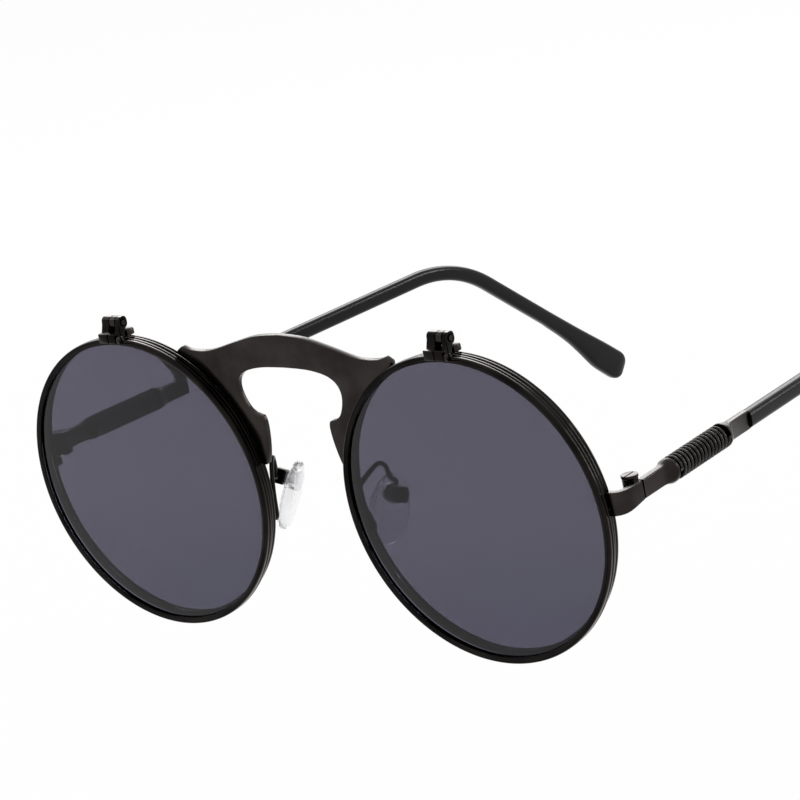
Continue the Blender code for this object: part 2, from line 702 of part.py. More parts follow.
def build_end_piece(name, surface):
    """The end piece (right side): the bent bar and the outer hinge knuckles."""
    start = Vector((RIM_X + REAR_RIM_RADIUS - REAR_RIM_WIDTH / 2, REAR_RIM_Y + BAR_THICKNESS / 2, 0))
    end = Vector((HINGE_X + BAR_OFFSET, HINGE_Y - SEAT_GAP / 2, 0))
    up = Vector((0, 0, 1))
    centres = []
    for out, back, tall in LUG_SHARES:
        x = start.x + out * (end.x - start.x)
        y = start.y + back * (end.y - start.y)
        z = HINGE_Z - tall * LUG_DROP
        centres.append((Vector((x, y, z)), BAR_HEIGHT + tall * (LUG_HEIGHT - BAR_HEIGHT)))
    sections = []
    for index, (centre, height) in enumerate(centres):
        before = centres[max(index - 1, 0)][0]
        after = centres[min(index + 1, len(centres) - 1)][0]
        along = after - before
        along.z = 0
        if index == 0:
            along = Vector((1, 0, 0))
        if index == len(centres) - 1:
            along = Vector((0, 1, 0))
        across = along.normalized().cross(up)
        sections.append(bar_section(centre, across, up, BAR_THICKNESS, height, BAR_EDGE))
    lug = lofted(sections, name, surface)
    tilt = Matrix.Rotation(-TEMPLE_SLOPE, 4, "X")
    hinge = Matrix.Translation((HINGE_X, HINGE_Y, HINGE_Z)) @ tilt
    knuckles = []
    for low, high in hinge_levels():
        knuckle = prism(hinge_outline(-1), low, high, "Z", "knuckle", surface)
        knuckle.data.transform(hinge)
        knuckles.append(knuckle)
    combined(lug, knuckles, "UNION")
    relief_share = 0.75
    inner = HINGE_KNUCKLE_HEIGHT / 2 + FIT_GAP * relief_share
    relief = rod(
        (0, 0, -inner), (0, 0, inner), HINGE_KNUCKLE_RADIUS + FIT_GAP, 20, "relief", surface
    )
    relief.data.transform(hinge)
    seat = rod(
        (RIM_X, 0, 0), (RIM_X, HINGE_Y - HINGE_KNUCKLE_RADIUS, 0),
        REAR_RIM_RADIUS + SEAT_GAP, RIM_SEGMENTS, "seat", surface,
    )
    hole = rod(
        (0, 0, -BAR_HEIGHT - OVERRUN), (0, 0, BAR_HEIGHT + OVERRUN),
        HINGE_SCREW_RADIUS + FIT_GAP, 16, "hole", surface,
    )
    hole.data.transform(hinge)
    return combined(lug, [seat, relief, hole], "DIFFERENCE")


def hinge_outline(side):
    """A hinge knuckle from above, about the pin: a round eye with a web out to the bar."""
    radius = HINGE_KNUCKLE_RADIUS
    edge = SEAT_GAP / 2
    start = math.asin(edge / radius)
    steps = 18
    outline = [(BAR_OFFSET, side * radius), (BAR_OFFSET, side * edge)]
    for step in range(steps + 1):
        angle = -start + (math.radians(270) + start) * step / steps
        outline.append((radius * math.cos(angle), -side * radius * math.sin(angle)))
    return outline


def hinge_levels():
    """Heights of the end piece's lower and upper knuckles about the hinge's centre."""
    inner = HINGE_KNUCKLE_HEIGHT / 2 + FIT_GAP
    return (-HINGE_LIFT, -inner), (inner, HINGE_LIFT + FIT_GAP)


def build_hinge_screw(name, surface):
    """The temple screw: its head on the upper knuckle, its end below the lower one."""
    top = hinge_levels()[1][1] + FIT_GAP
    length = top + HINGE_LIFT + HINGE_HEAD_HEIGHT
    screw = build_screw(
        name, HINGE_HEAD_RADIUS, HINGE_HEAD_HEIGHT, HINGE_SCREW_RADIUS, length, surface
    )
    screw.data.transform(Matrix.Rotation(math.radians(-90), 4, "X"))
    screw.data.transform(Matrix.Translation((0, 0, top)))
    return screw


# Temple: y runs along it from the hinge axis, x is outwards

def tip_path():
    """The temple's centre line from the start of its plastic tip, with the ear bend."""
    path = []
    straight_steps = 3
    bend_steps = 8
    end_steps = 7
    for step in range(straight_steps):
        path.append(Vector((0, TIP_START + (BEND_START - TIP_START) * step / straight_steps, 0)))
    for step in range(bend_steps + 1):
        angle = BEND_ANGLE * step / bend_steps
        y = BEND_START + BEND_RADIUS * math.sin(angle)
        path.append(Vector((0, y, -BEND_RADIUS * (1 - math.cos(angle)))))
    corner = path[-1]
    down = Vector((0, math.cos(BEND_ANGLE), -math.sin(BEND_ANGLE)))
    for step in range(1, end_steps + 1):
        path.append(corner + down * TIP_STRAIGHT * step / end_steps)
    return path


def path_lengths(path):
    lengths = [0.0]
    for before, after in zip(path, path[1:]):
        lengths.append(lengths[-1] + (after - before).length)
    return lengths


def mix(table, share):
    """Reads a table of (share, value) pairs, in straight runs."""
    for (low, first), (high, second) in zip(table, table[1:]):
        if share <= high:
            return first + (second - first) * (share - low) / (high - low)
    return table[-1][1]


# Growth of the tip from its start to its paddle, by share of the way along it
PADDLE_SHARES = (
    (0.0, 0.0), (0.72, 0.0), (0.80, 0.04), (0.86, 0.22), (0.905, 0.60), (0.94, 0.93), (1.0, 1.0),
)


def build_tip(name, surface):
    """The plastic temple tip: a swept bar that widens to a rounded paddle, bored for the tang."""
    path = tip_path()
    lengths = path_lengths(path)
    whole = lengths[-1]
    last = path[-1]
    down = (path[-1] - path[-2]).normalized()
    rounding = TIP_PADDLE_HEIGHT / 2
    drop_share = 0.38
    end_share = 0.35
    corner_share = 0.27
    stations = []
    for point, length in zip(path, lengths):
        if length < whole - rounding:
            stations.append((point, length / whole, 1.0))
    round_steps = 6
    for step in range(round_steps):
        angle = math.radians(85) * step / (round_steps - 1)
        point = last + down * rounding * (math.sin(angle) ** TIP_END_POWER - 1)
        share = 1.0 - (last - point).length / whole
        stations.append((point, share, math.cos(angle) ** TIP_END_POWER))
    sections = []
    for index, (point, share, shrink) in enumerate(stations):
        before = stations[max(index - 1, 0)][0]
        after = stations[min(index + 1, len(stations) - 1)][0]
        along = (after - before).normalized()
        side = Vector((1, 0, 0))
        up = side.cross(along)
        grow = mix(PADDLE_SHARES, share)
        growth = grow * (TIP_PADDLE_HEIGHT - TIP_START_HEIGHT)
        height = (TIP_START_HEIGHT + growth) * shrink
        drop = growth * drop_share
        thickness = TIP_START_THICKNESS + grow * (TIP_PADDLE_THICKNESS - TIP_START_THICKNESS)
        thickness = thickness * (end_share + (1 - end_share) * shrink)
        edge = min(height, thickness) * corner_share
        centre = point + Vector((BAR_OFFSET, 0, 0)) - drop * up
        sections.append(bar_section(centre, side, up, thickness, height, edge))
    tip = lofted(sections, name, surface)
    bore_points = [point + Vector((BAR_OFFSET, 0, 0)) for point in tang_path(BORE_GAP)]
    bore_points.insert(0, bore_points[0] - Vector((0, OVERRUN, 0)))
    bore = tube(bore_points, TANG_RADIUS + BORE_GAP, 10, "bore", surface)
    return combined(tip, [bore], "DIFFERENCE")


def tang_path(extra=0.0):
    """The part of the tip's centre line that the tang fills."""
    path = tip_path()
    lengths = path_lengths(path)
    end = lengths[-1] - TANG_SHORT_OF_END + extra
    kept = [point for point, length in zip(path, lengths) if length < end]
    down = (path[-1] - path[-2]).normalized()
    kept.append(path[-1] - down * (TANG_SHORT_OF_END - extra))
    return kept


# The swelling of a flat bar towards the spring: shares of its length and of its growth
TAPER_SHARES = ((1.0, 0.0), (0.72, 0.16), (0.42, 0.62), (0.22, 0.92), (0.0, 1.0))


def build_temple_bar(name, surface):
    """The metal temple: hinge knuckle, flat bar, spring rod, flat bar and tang, in one piece."""
    side = Vector((1, 0, 0))
    up = Vector((0, 0, 1))
    along = Vector((0, 1, 0))
    offset = Vector((BAR_OFFSET, 0, 0))
    front = SEAT_GAP / 2
    edge_share = 0.293
    wide = SPRING_RADIUS + SPRING_RADIUS + SPRING_WIRE
    flat = (BAR_THICKNESS, BAR_HEIGHT, BAR_EDGE)
    full = (wide, wide, wide * edge_share)
    bars = []
    for end, spring_end, way in (
        (front, SPRING_START, -1), (REAR_BAR_START + REAR_BAR_LENGTH, REAR_BAR_START, 1),
    ):
        sections = [bar_section(offset + end * along, side, up, BAR_THICKNESS, BAR_HEIGHT, BAR_EDGE)]
        for back, grow in TAPER_SHARES:
            place = offset + (spring_end + way * back * TAPER_LENGTH) * along
            sizes = [low + grow * (high - low) for low, high in zip(flat, full)]
            sections.append(bar_section(place, side, up, *sizes))
        bars.append(lofted(sections, name, surface))
    front_bar, rear_bar = bars
    core = rod(
        offset + Vector((0, SPRING_START - COLLAR_LENGTH / 2, 0)),
        offset + Vector((0, REAR_BAR_START + COLLAR_LENGTH / 2, 0)),
        ROD_RADIUS, 16, "core", surface,
    )
    tang_points = [point + offset for point in tang_path()]
    tang_points.insert(0, offset + Vector((0, REAR_BAR_START + REAR_BAR_LENGTH - COLLAR_LENGTH, 0)))
    tang = tube(tang_points, TANG_RADIUS, 8, "tang", surface)
    half = HINGE_KNUCKLE_HEIGHT / 2
    knuckle = prism(hinge_outline(1), -half, half, "Z", "knuckle", surface)
    reliefs = []
    for low, high in hinge_levels():
        low = low - OVERRUN if low < 0 else half
        high = high + OVERRUN if high > 0 else -half
        reliefs.append(rod(
            (0, 0, low), (0, 0, high), HINGE_KNUCKLE_RADIUS + FIT_GAP, 20, "relief", surface
        ))
    combined(front_bar, reliefs, "DIFFERENCE")
    combined(front_bar, [rear_bar, core, tang, knuckle], "UNION")
    hole = rod(
        (0, 0, -half - OVERRUN), (0, 0, half + OVERRUN), HINGE_SCREW_RADIUS + FIT_GAP, 16,
        "hole", surface,
    )
    return combined(front_bar, [hole], "DIFFERENCE")


def spring_points():
    """One unbroken helix; each end turns off and runs straight, square to its collar."""
    points = [Vector((SPRING_RADIUS, 0, 0)), Vector((SPRING_RADIUS, SPRING_WIRE, 0))]
    total = SPRING_CURLS * SPRING_POINTS
    for step in range(1, total):
        angle = math.tau * step / SPRING_POINTS
        rise = SPRING_WIRE + SPRING_PITCH * step / SPRING_POINTS
        points.append(Vector((SPRING_RADIUS * math.cos(angle), rise, SPRING_RADIUS * math.sin(angle))))
    points.append(Vector((SPRING_RADIUS, SPRING_LENGTH - SPRING_WIRE, 0)))
    points.append(Vector((SPRING_RADIUS, SPRING_LENGTH, 0)))
    return points


def least_gap(points, wire):
    """The least distance between the surfaces of two curls, on points over half a curl apart."""
    least = math.inf
    apart = SPRING_POINTS // 2
    for index, point in enumerate(points):
        for other in points[index + apart:]:
            least = min(least, (point - other).length - wire)
    return least


def build_spring(name, surface):
    """A spring wire as a curve with a round bevel, laid between the collars."""
    curve = bpy.data.curves.new(name, "CURVE")
    curve.dimensions = "3D"
    curve.bevel_depth = SPRING_WIRE / 2
    curve.bevel_resolution = 1
    curve.use_fill_caps = True
    points = spring_points()
    spline = curve.splines.new("POLY")
    spline.points.add(len(points) - 1)
    start = Vector((BAR_OFFSET, SPRING_START + SEAT_GAP, 0))
    for target, point in zip(spline.points, points):
        target.co = (*(start + point), 1)
    curve.materials.append(surface)
    made = bpy.data.objects.new(name, curve)
    bpy.context.scene.collection.objects.link(made)
    mesh = bpy.data.meshes.new_from_object(made.evaluated_get(bpy.context.evaluated_depsgraph_get()))
    bpy.data.objects.remove(made)
    bm = bmesh.new()
    bm.from_mesh(mesh)
    bpy.data.meshes.remove(mesh)
    merge_share = 0.01
    bmesh.ops.remove_doubles(bm, verts=bm.verts, dist=SPRING_WIRE * merge_share)
    return mesh_object(name, bm, surface)


# Nose pads: local x is outwards from the nose, y back along the width, z up the length

# Shares of the half length and, there, of the half width
PAD_ROUND_SHARES = (
    (-1.0, 0.0), (-0.93, 0.42), (-0.72, 0.75), (-0.35, 0.97), (0.0, 1.0),
    (0.35, 0.94), (0.66, 0.76), (0.88, 0.49), (1.0, 0.0),
)


def build_pad(name, surface):
    """A soft nose pad: an oval cushion, flatter on its outer side, with a pocket for its insert."""
    bm = bmesh.new()
    around = 16
    bulge_power = 0.8
    outer_share = 0.84
    half_length = PAD_LENGTH / 2
    rings = []
    for along, wide in PAD_ROUND_SHARES:
        z = along * half_length
        if wide == 0:
            rings.append([bm.verts.new((0, 0, z))] * around)
            continue
        ring = []
        for step in range(around):
            angle = math.tau * step / around
            x = math.cos(angle)
            bulge = abs(x) ** bulge_power * math.copysign(1, x) * (outer_share if x > 0 else 1.0)
            thick = PAD_THICKNESS / 2 * math.sqrt(wide) * bulge
            ring.append(bm.verts.new((thick, PAD_WIDTH / 2 * wide * math.sin(angle), z)))
        rings.append(ring)
    for first, second in zip(rings, rings[1:]):
        for index in range(around):
            after = (index + 1) % around
            corners = [first[index], first[after], second[after], second[index]]
            bm.faces.new(list(dict.fromkeys(corners)))
    pad = mesh_object(name, bm, surface)
    pocket = rod(
        (-FIT_GAP, 0, PAD_BOX_RISE), (PAD_PLATE_THICKNESS + FIT_GAP, 0, PAD_BOX_RISE),
        PAD_PLATE_RADIUS + FIT_GAP, 16, "pocket", surface,
    )
    half = PAD_TAB_THICKNESS / 2 + FIT_GAP
    tall = PAD_TAB_HEIGHT / 2 + FIT_GAP
    neck = box(
        (0, -half, PAD_BOX_RISE - tall), (PAD_THICKNESS + OVERRUN, half, PAD_BOX_RISE + tall),
        "neck", surface,
    )
    return combined(pad, [pocket, neck], "DIFFERENCE")


PAD_BOX_X = PAD_THICKNESS / 2 + SEAT_GAP


def build_insert(name, surface):
    """The pad's metal insert: a round plate in the silicone and a drilled tab for the box."""
    insert = rod(
        (0, 0, PAD_BOX_RISE), (PAD_PLATE_THICKNESS, 0, PAD_BOX_RISE), PAD_PLATE_RADIUS, 16,
        name, surface,
    )
    half = PAD_TAB_THICKNESS / 2
    tall = PAD_TAB_HEIGHT / 2
    tab_end = PAD_BOX_X + PAD_BOX_DEPTH - SLOT_WIDTH - FIT_GAP
    tab = box(
        (PAD_PLATE_THICKNESS / 2, -half, PAD_BOX_RISE - tall), (tab_end, half, PAD_BOX_RISE + tall),
        "tab", surface,
    )
    combined(insert, [tab], "UNION")
    return combined(insert, [pad_screw_hole(surface)], "DIFFERENCE")


def pad_screw_hole(surface):
    middle = PAD_BOX_X + PAD_BOX_DEPTH / 2
    return rod(
        (middle, -PAD_BOX_WIDTH, PAD_BOX_RISE), (middle, PAD_BOX_WIDTH, PAD_BOX_RISE),
        PAD_SCREW_RADIUS + FIT_GAP / 2, 12, "hole", surface,
    )


def build_pad_box(name, surface):
    """The small box on the pad arm that takes the insert's tab."""
    half = PAD_BOX_WIDTH / 2
    tall = PAD_BOX_HEIGHT / 2
    shell = box(
        (PAD_BOX_X, -half, PAD_BOX_RISE - tall),
        (PAD_BOX_X + PAD_BOX_DEPTH, half, PAD_BOX_RISE + tall), name, surface,
    )
    rounded(shell, BAR_EDGE)
    inner = PAD_TAB_THICKNESS / 2 + FIT_GAP
    room = PAD_TAB_HEIGHT / 2 + FIT_GAP
    slot = box(
        (PAD_BOX_X - OVERRUN, -inner, PAD_BOX_RISE - room),
        (PAD_BOX_X + PAD_BOX_DEPTH - SLOT_WIDTH, inner, PAD_BOX_RISE + room), "slot", surface,
    )
    return combined(shell, [slot, pad_screw_hole(surface)], "DIFFERENCE")


def build_pad_screw(name, surface):
    screw = build_screw(
        name, PAD_SCREW_HEAD, PAD_SCREW_HEAD_HEIGHT, PAD_SCREW_RADIUS, PAD_BOX_WIDTH, surface, 12
    )
    screw.data.transform(Matrix.Rotation(math.pi, 4, "Z"))
    middle = PAD_BOX_X + PAD_BOX_DEPTH / 2
    screw.data.transform(Matrix.Translation((middle, PAD_BOX_WIDTH / 2 + FIT_GAP, PAD_BOX_RISE)))
    return screw


# Each arm's way after its foot, as shares of the arm's size: back and up from the rim,
# over the loop and down towards the pad box. The two arms are bent differently.
ARM_SHARES = {
    1: (
        (0.0, 0.0, 0.0), (-0.03, 0.07, 0.06), (-0.16, 0.09, 0.32), (-0.23, 0.08, 0.59),
        (-0.13, 0.13, 0.78), (0.01, 0.24, 0.97), (0.09, 0.34, 1.03), (0.13, 0.43, 0.94),
        (0.13, 0.475, 0.73),
    ),
    -1: (
        (0.0, 0.0, 0.0), (0.01, 0.06, 0.06), (0.01, 0.09, 0.34), (-0.01, 0.12, 0.66),
        (0.0, 0.20, 0.93), (0.05, 0.31, 0.98), (0.12, 0.38, 0.78),
    ),
}
# Where each arm meets its box: shares of the box's half width and half height,
# and the way in which it leaves the box
ARM_END_SHARES = {1: (-0.65, 1.0), -1: (-1.0, 0.0)}
ARM_END_WAYS = {1: Vector((0, 0, 1)), -1: Vector((0, -1, 0))}


def pad_matrix(sign):
    turn = Euler(PAD_TURNS[sign], "XYZ").to_matrix().to_4x4()
    return Matrix.Translation(PAD_CENTRES[sign]) @ turn


def arm_points(sign):
    """The swan neck: back from the rim, up, over a loop and down to the box."""
    radius = REAR_RIM_RADIUS - ARM_RADIUS
    foot_x = RIM_X - math.sqrt(radius ** 2 - ARM_FOOT_Z ** 2)
    foot = Vector((foot_x, REAR_RIM_BACK + SEAT_GAP, ARM_FOOT_Z))
    points = [foot + ARM_SIZE * Vector(share) for share in ARM_SHARES[sign]]
    wide, tall = ARM_END_SHARES[sign]
    face = Vector((
        PAD_BOX_X + PAD_BOX_DEPTH / 2, wide * PAD_BOX_WIDTH / 2,
        PAD_BOX_RISE + tall * PAD_BOX_HEIGHT / 2,
    ))
    for off in (FIT_GAP + ARM_RADIUS + ARM_RADIUS, FIT_GAP):
        points.append(pad_matrix(sign) @ (face + off * ARM_END_WAYS[sign]))
    return points


def build_arm(name, surface, sign):
    return tube(smooth_path(arm_points(sign), 2), ARM_RADIUS, 8, name, surface)


# The whole object

for leftover in list(bpy.data.objects):
    bpy.data.objects.remove(leftover)

METAL = material("black metal", (0.02, 0.02, 0.02), 0.25, 1.0)
GUNMETAL = material("gunmetal", (0.045, 0.04, 0.036), 0.35, 1.0)
STEEL = material("steel", (0.5, 0.5, 0.5), 0.3, 1.0)
DARK_LENS = material("dark lens", (0.10, 0.098, 0.12), 0.03, 0.0, 0.9)
CLEAR_LENS = material("clear lens", (0.85, 0.85, 0.88), 0.03, 0.0, 0.95)
SILICONE = material("silicone", (0.85, 0.86, 0.88), 0.2, 0.0, 0.6)
PLASTIC = material("black plastic", (0.008, 0.008, 0.009), 0.12)

stance = empty("stance")


def build_side(side, sign):
    """Everything of one side, parented to the empties of its joints."""
    rim_place = (sign * RIM_X, 0, 0)
    pin_place = (sign * RIM_X, FLIP_PIN_Y, FLIP_PIN_Z)
    flip = empty("flip_" + side, stance, pin_place)
    from_pin = (0, -FLIP_PIN_Y, -FLIP_PIN_Z)
    placed(build_front_rim("front_rim_" + side, METAL), flip, from_pin)
    placed(build_closing_screw("closing_screw_" + side, METAL), flip, from_pin)
    dark = build_lens("dark_lens_" + side, FRONT_LENS_RADIUS, FRONT_LENS_Y, DARK_LENS_SAG, DARK_LENS)
    dark.data.transform(Matrix.Translation((0, 0, -FRONT_RIM_DROP)))
    placed(dark, flip, from_pin)
    placed(build_flip_bracket("flip_bracket_" + side, GUNMETAL), stance, rim_place)
    placed(build_flip_pin("flip_pin_" + side, STEEL), stance, rim_place)
    clear = build_lens("clear_lens_" + side, REAR_LENS_RADIUS, REAR_LENS_Y, CLEAR_LENS_SAG, CLEAR_LENS)
    placed(clear, stance, rim_place)

    hinge_place = (sign * HINGE_X, HINGE_Y, HINGE_Z)
    hinge = empty("hinge_" + side, stance, hinge_place, (-TEMPLE_SLOPE, 0, 0))
    temple = empty("temple_" + side, hinge, (0, 0, 0), (0, 0, sign * TEMPLE_TOE_IN))
    x, y, z = PAD_CENTRES[sign]
    around_x, around_y, around_z = PAD_TURNS[sign]
    pad_turn = (around_x, sign * around_y, sign * around_z)
    pad = empty("pad_" + side, stance, (sign * x, y, z), pad_turn)

    def arm(name, surface):
        return build_arm(name, surface, sign)

    sided = (
        (build_rear_rim, "rear_rim_", METAL, stance, rim_place),
        (build_lock_screw, "rim_lock_screw_", STEEL, stance, rim_place),
        (build_end_piece, "end_piece_", GUNMETAL, stance, (0, 0, 0)),
        (build_hinge_screw, "hinge_screw_", GUNMETAL, hinge, (0, 0, 0)),
        (build_temple_bar, "temple_bar_", GUNMETAL, temple, (0, 0, 0)),
        (build_spring, "temple_spring_", GUNMETAL, temple, (0, 0, 0)),
        (build_tip, "temple_tip_", PLASTIC, temple, (0, 0, 0)),
        (arm, "pad_arm_", METAL, stance, (0, 0, 0)),
        (build_pad_box, "pad_box_", METAL, pad, (0, 0, 0)),
        (build_insert, "pad_insert_", STEEL, pad, (0, 0, 0)),
        (build_pad_screw, "pad_screw_", STEEL, pad, (0, 0, 0)),
        (build_pad, "nose_pad_", SILICONE, pad, (0, 0, 0)),
    )
    for build, name, surface, parent, place in sided:
        made = build(name + side, surface)
        if sign < 0:
            right = made
            right.name = "template"
            made = mirrored(right, name + side)
            bpy.data.objects.remove(right)
        placed(made, parent, place)


def points_of(names):
    """The points of some pieces in the glasses' own frame."""
    points = []
    for name in names:
        made = bpy.data.objects[name]
        place = stance.matrix_world.inverted() @ made.matrix_world
        points.extend(place @ vertex.co for vertex in made.data.vertices)
    return points


def set_down():
    """Tilts the glasses until rims and temple tips share a floor, and centres them over the origin."""
    bpy.context.view_layer.update()
    front = points_of(["front_rim_right", "rear_rim_right"])
    back = points_of(["temple_tip_right"])
    tilt = 0.0
    for _ in range(12):
        turn = Matrix.Rotation(tilt, 3, "X")
        foot = min((turn @ point for point in front), key=lambda point: point.z)
        heel = min((turn @ point for point in back), key=lambda point: point.z)
        tilt += math.atan2(foot.z - heel.z, heel.y - foot.y)
    stance.rotation_euler = (tilt, 0, 0)
    bpy.context.view_layer.update()
    points = []
    for made in bpy.data.objects:
        if made.type == "MESH":
            points.extend(made.matrix_world @ vertex.co for vertex in made.data.vertices)
    near = min(point.y for point in points)
    far = max(point.y for point in points)
    stance.location = (0, -(near + far) / 2, -min(point.z for point in points))
    bpy.context.view_layer.update()


placed(build_bridge("bridge_plate", GUNMETAL), stance)
build_side("right", 1)
build_side("left", -1)
set_down()
gap = least_gap(spring_points(), SPRING_WIRE)
print(f"least gap of a spring to itself: {gap * 1000:.2f} mm")
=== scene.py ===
"""The dressed model of the round flip-up sunglasses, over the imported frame.

Lengths are in metres. Pieces are made in the glasses' own frame (x = 0 on the
bridge, y = 0 on the front of the flip-up rims, z = 0 at the rims' centres), and
STANCE, which comes from the record's joints, puts them where the glasses stand.
"""

import json
import math

import bmesh
import bpy
from mathutils import Euler, Matrix, Vector
from mathutils.geometry import interpolate_bezier


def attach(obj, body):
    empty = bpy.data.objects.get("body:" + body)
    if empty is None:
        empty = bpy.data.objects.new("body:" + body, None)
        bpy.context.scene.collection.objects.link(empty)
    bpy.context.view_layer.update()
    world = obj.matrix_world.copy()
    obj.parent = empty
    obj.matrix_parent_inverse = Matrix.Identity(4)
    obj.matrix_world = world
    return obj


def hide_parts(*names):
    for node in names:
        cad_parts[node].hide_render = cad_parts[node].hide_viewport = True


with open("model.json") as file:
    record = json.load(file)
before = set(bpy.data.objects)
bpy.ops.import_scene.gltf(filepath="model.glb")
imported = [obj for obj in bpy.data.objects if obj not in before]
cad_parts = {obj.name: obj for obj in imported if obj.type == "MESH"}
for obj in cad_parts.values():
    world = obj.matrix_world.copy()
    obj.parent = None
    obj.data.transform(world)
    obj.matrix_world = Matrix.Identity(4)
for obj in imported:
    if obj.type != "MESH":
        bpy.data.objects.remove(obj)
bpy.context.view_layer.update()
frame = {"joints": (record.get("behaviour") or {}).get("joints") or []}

# Clearances shared by all pieces
SEAT_GAP = 0.00025
FIT_GAP = 0.0002
OVERRUN = 0.002

# Rims and lenses
RIM_GAP = 0.0187
FRONT_RIM_RADIUS = 0.0262
FRONT_RIM_DEPTH = 0.0014
FRONT_RIM_WIDTH = 0.0011
FRONT_RIM_DROP = 0.0003
RIM_STEP = 0.0005
REAR_RIM_DEPTH = 0.0014
REAR_RIM_WIDTH = 0.00105
REAR_RIM_Y = 0.0019
RIM_SPLIT = 0.00025
LENS_SEAT = 0.00035
LENS_SHOULDER = 0.0002
LENS_EDGE = 0.0003
LENS_THICKNESS = 0.0006
DARK_LENS_SAG = 0.0006
CLEAR_LENS_SAG = 0.0007

# Flip-up hinge over each rim
FLIP_PIN_X = 0.0004
FLIP_PIN_Y = 0.0012
FLIP_PIN_RISE = 0.00235
FLIP_PIN_RADIUS = 0.00045
FLIP_KNUCKLE_RADIUS = 0.00105
FLIP_KNUCKLE_LENGTH = 0.0011
FLIP_EAR_SPREAD = 0.0007
FLIP_LEG_FRONT = 0.00035
FLIP_EAR_LENGTHS = (0.0016, 0.00075)
FLIP_BASE_DEPTH = 0.0019
FLIP_BASE_HEIGHT = 0.0011
FLIP_BASE_EDGE = 0.0004
FLIP_BLOCK_LEFT = 0.0021
FLIP_BLOCK_RIGHT = 0.0019
FLIP_BLOCK_PROUD = 0.00135
FLIP_BLOCK_RISE = 0.001
FLIP_BLOCK_EDGE = 0.0002
FLIP_SPLIT_X = 0.0001
FLIP_PIN_PROUD = 0.0002

# Screws: radii and head sizes
CLOSING_SCREW_RADIUS = 0.0003
CLOSING_SCREW_Y = -0.0007
CLOSING_SCREW_SINK = 0.0001
CLOSING_HEAD_RADIUS = 0.0007
CLOSING_HEAD_HEIGHT = 0.0005
SLOT_WIDTH = 0.0003
SLOT_DEPTH = 0.0002

# Bridge plate
BRIDGE_THICKNESS = 0.0012
BRIDGE_INSET = 0.00015
BRIDGE_EAR_SHORT = 0.01225
BRIDGE_RISE = 0.001
BRIDGE_LEG_END = 0.004
BRIDGE_EAR_TIP = 0.0007
ARCH_TOP = 0.02155
ARCH_HALF_WIDTH = 0.01125
BRIDGE_EDGE = 0.00018

# End piece and temple hinge
HINGE_OUT = 0.00065
HINGE_Y = 0.0074
HINGE_Z = 0.0025
HINGE_KNUCKLE_RADIUS = 0.0013
HINGE_KNUCKLE_HEIGHT = 0.001
HINGE_SCREW_RADIUS = 0.0005
HINGE_HEAD_RADIUS = 0.0014
HINGE_HEAD_HEIGHT = 0.0004
BAR_OFFSET = 0.0017
BAR_THICKNESS = 0.0013
BAR_HEIGHT = 0.0031
BAR_EDGE = 0.0002
LUG_HEIGHT = 0.004
LUG_DROP = 0.00055
LOCK_Z = 0.0012
LOCK_WIDTH = 0.0009
LOCK_HEIGHT = 0.0014
LOCK_DEPTH = 0.0016
LOCK_FOOT = 0.0004
LOCK_FOOT_SHORT = 0.0002
LOCK_SCREW_OUT = 0.0002
LOCK_SCREW_RADIUS = 0.0003
LOCK_HEAD_RADIUS = 0.00055

# Temple
TEMPLE_TOE_IN = math.radians(3.15)
TEMPLE_SLOPE = math.radians(2.35)
SPRING_START = 0.0083
# The spring's rod and the tang reach this far into the flat bars
CORE_OVERLAP = 0.0008
TAPER_LENGTH = 0.0026
SPRING_WIRE = 0.00057
SPRING_RADIUS = 0.0018
SPRING_CURLS = 14
SPRING_PITCH = 0.00102
SPRING_POINTS = 26
ROD_RADIUS = 0.0011
REAR_BAR_LENGTH = 0.0073
TANG_RADIUS = 0.0005
BORE_SIDES = 20
TANG_SHORT_OF_END = 0.02
TIP_START_THICKNESS = 0.0023
TIP_START_HEIGHT = 0.0029
TIP_PADDLE_HEIGHT = 0.0059
TIP_PADDLE_THICKNESS = 0.0024
BEND_START = 0.0949
BEND_RADIUS = 0.032
BEND_ANGLE = math.radians(38.5)
TIP_STRAIGHT = 0.0466
TIP_END_POWER = 0.77
BORE_GAP = 0.00025
# The visible rear bar ends BAR_SEAM before the tip, and starts SPRING_REACH before the solid one
BAR_SEAM = 0.00005
SPRING_REACH = 0.0003

# Nose pads
PAD_CENTRES = {1: (0.0101, 0.0092, -0.0053), -1: (0.012, 0.0092, -0.0046)}
PAD_TURNS = {1: (-20, -5, -18), -1: (-22, -20, -18)}
PAD_LENGTH = 0.0117
PAD_WIDTH = 0.0073
PAD_THICKNESS = 0.0025
PAD_PLATE_RADIUS = 0.0016
PAD_PLATE_THICKNESS = 0.0005
PAD_TAB_THICKNESS = 0.0007
PAD_TAB_HEIGHT = 0.0016
PAD_BOX_RISE = 0.0026
PAD_BOX_DEPTH = 0.0022
PAD_BOX_WIDTH = 0.0024
PAD_BOX_HEIGHT = 0.0026
PAD_SCREW_RADIUS = 0.0003
PAD_SCREW_HEAD = 0.00065
PAD_SCREW_HEAD_HEIGHT = 0.0003
ARM_RADIUS = 0.0004
ARM_FOOT_Z = -0.0065
ARM_SIZE = 0.01

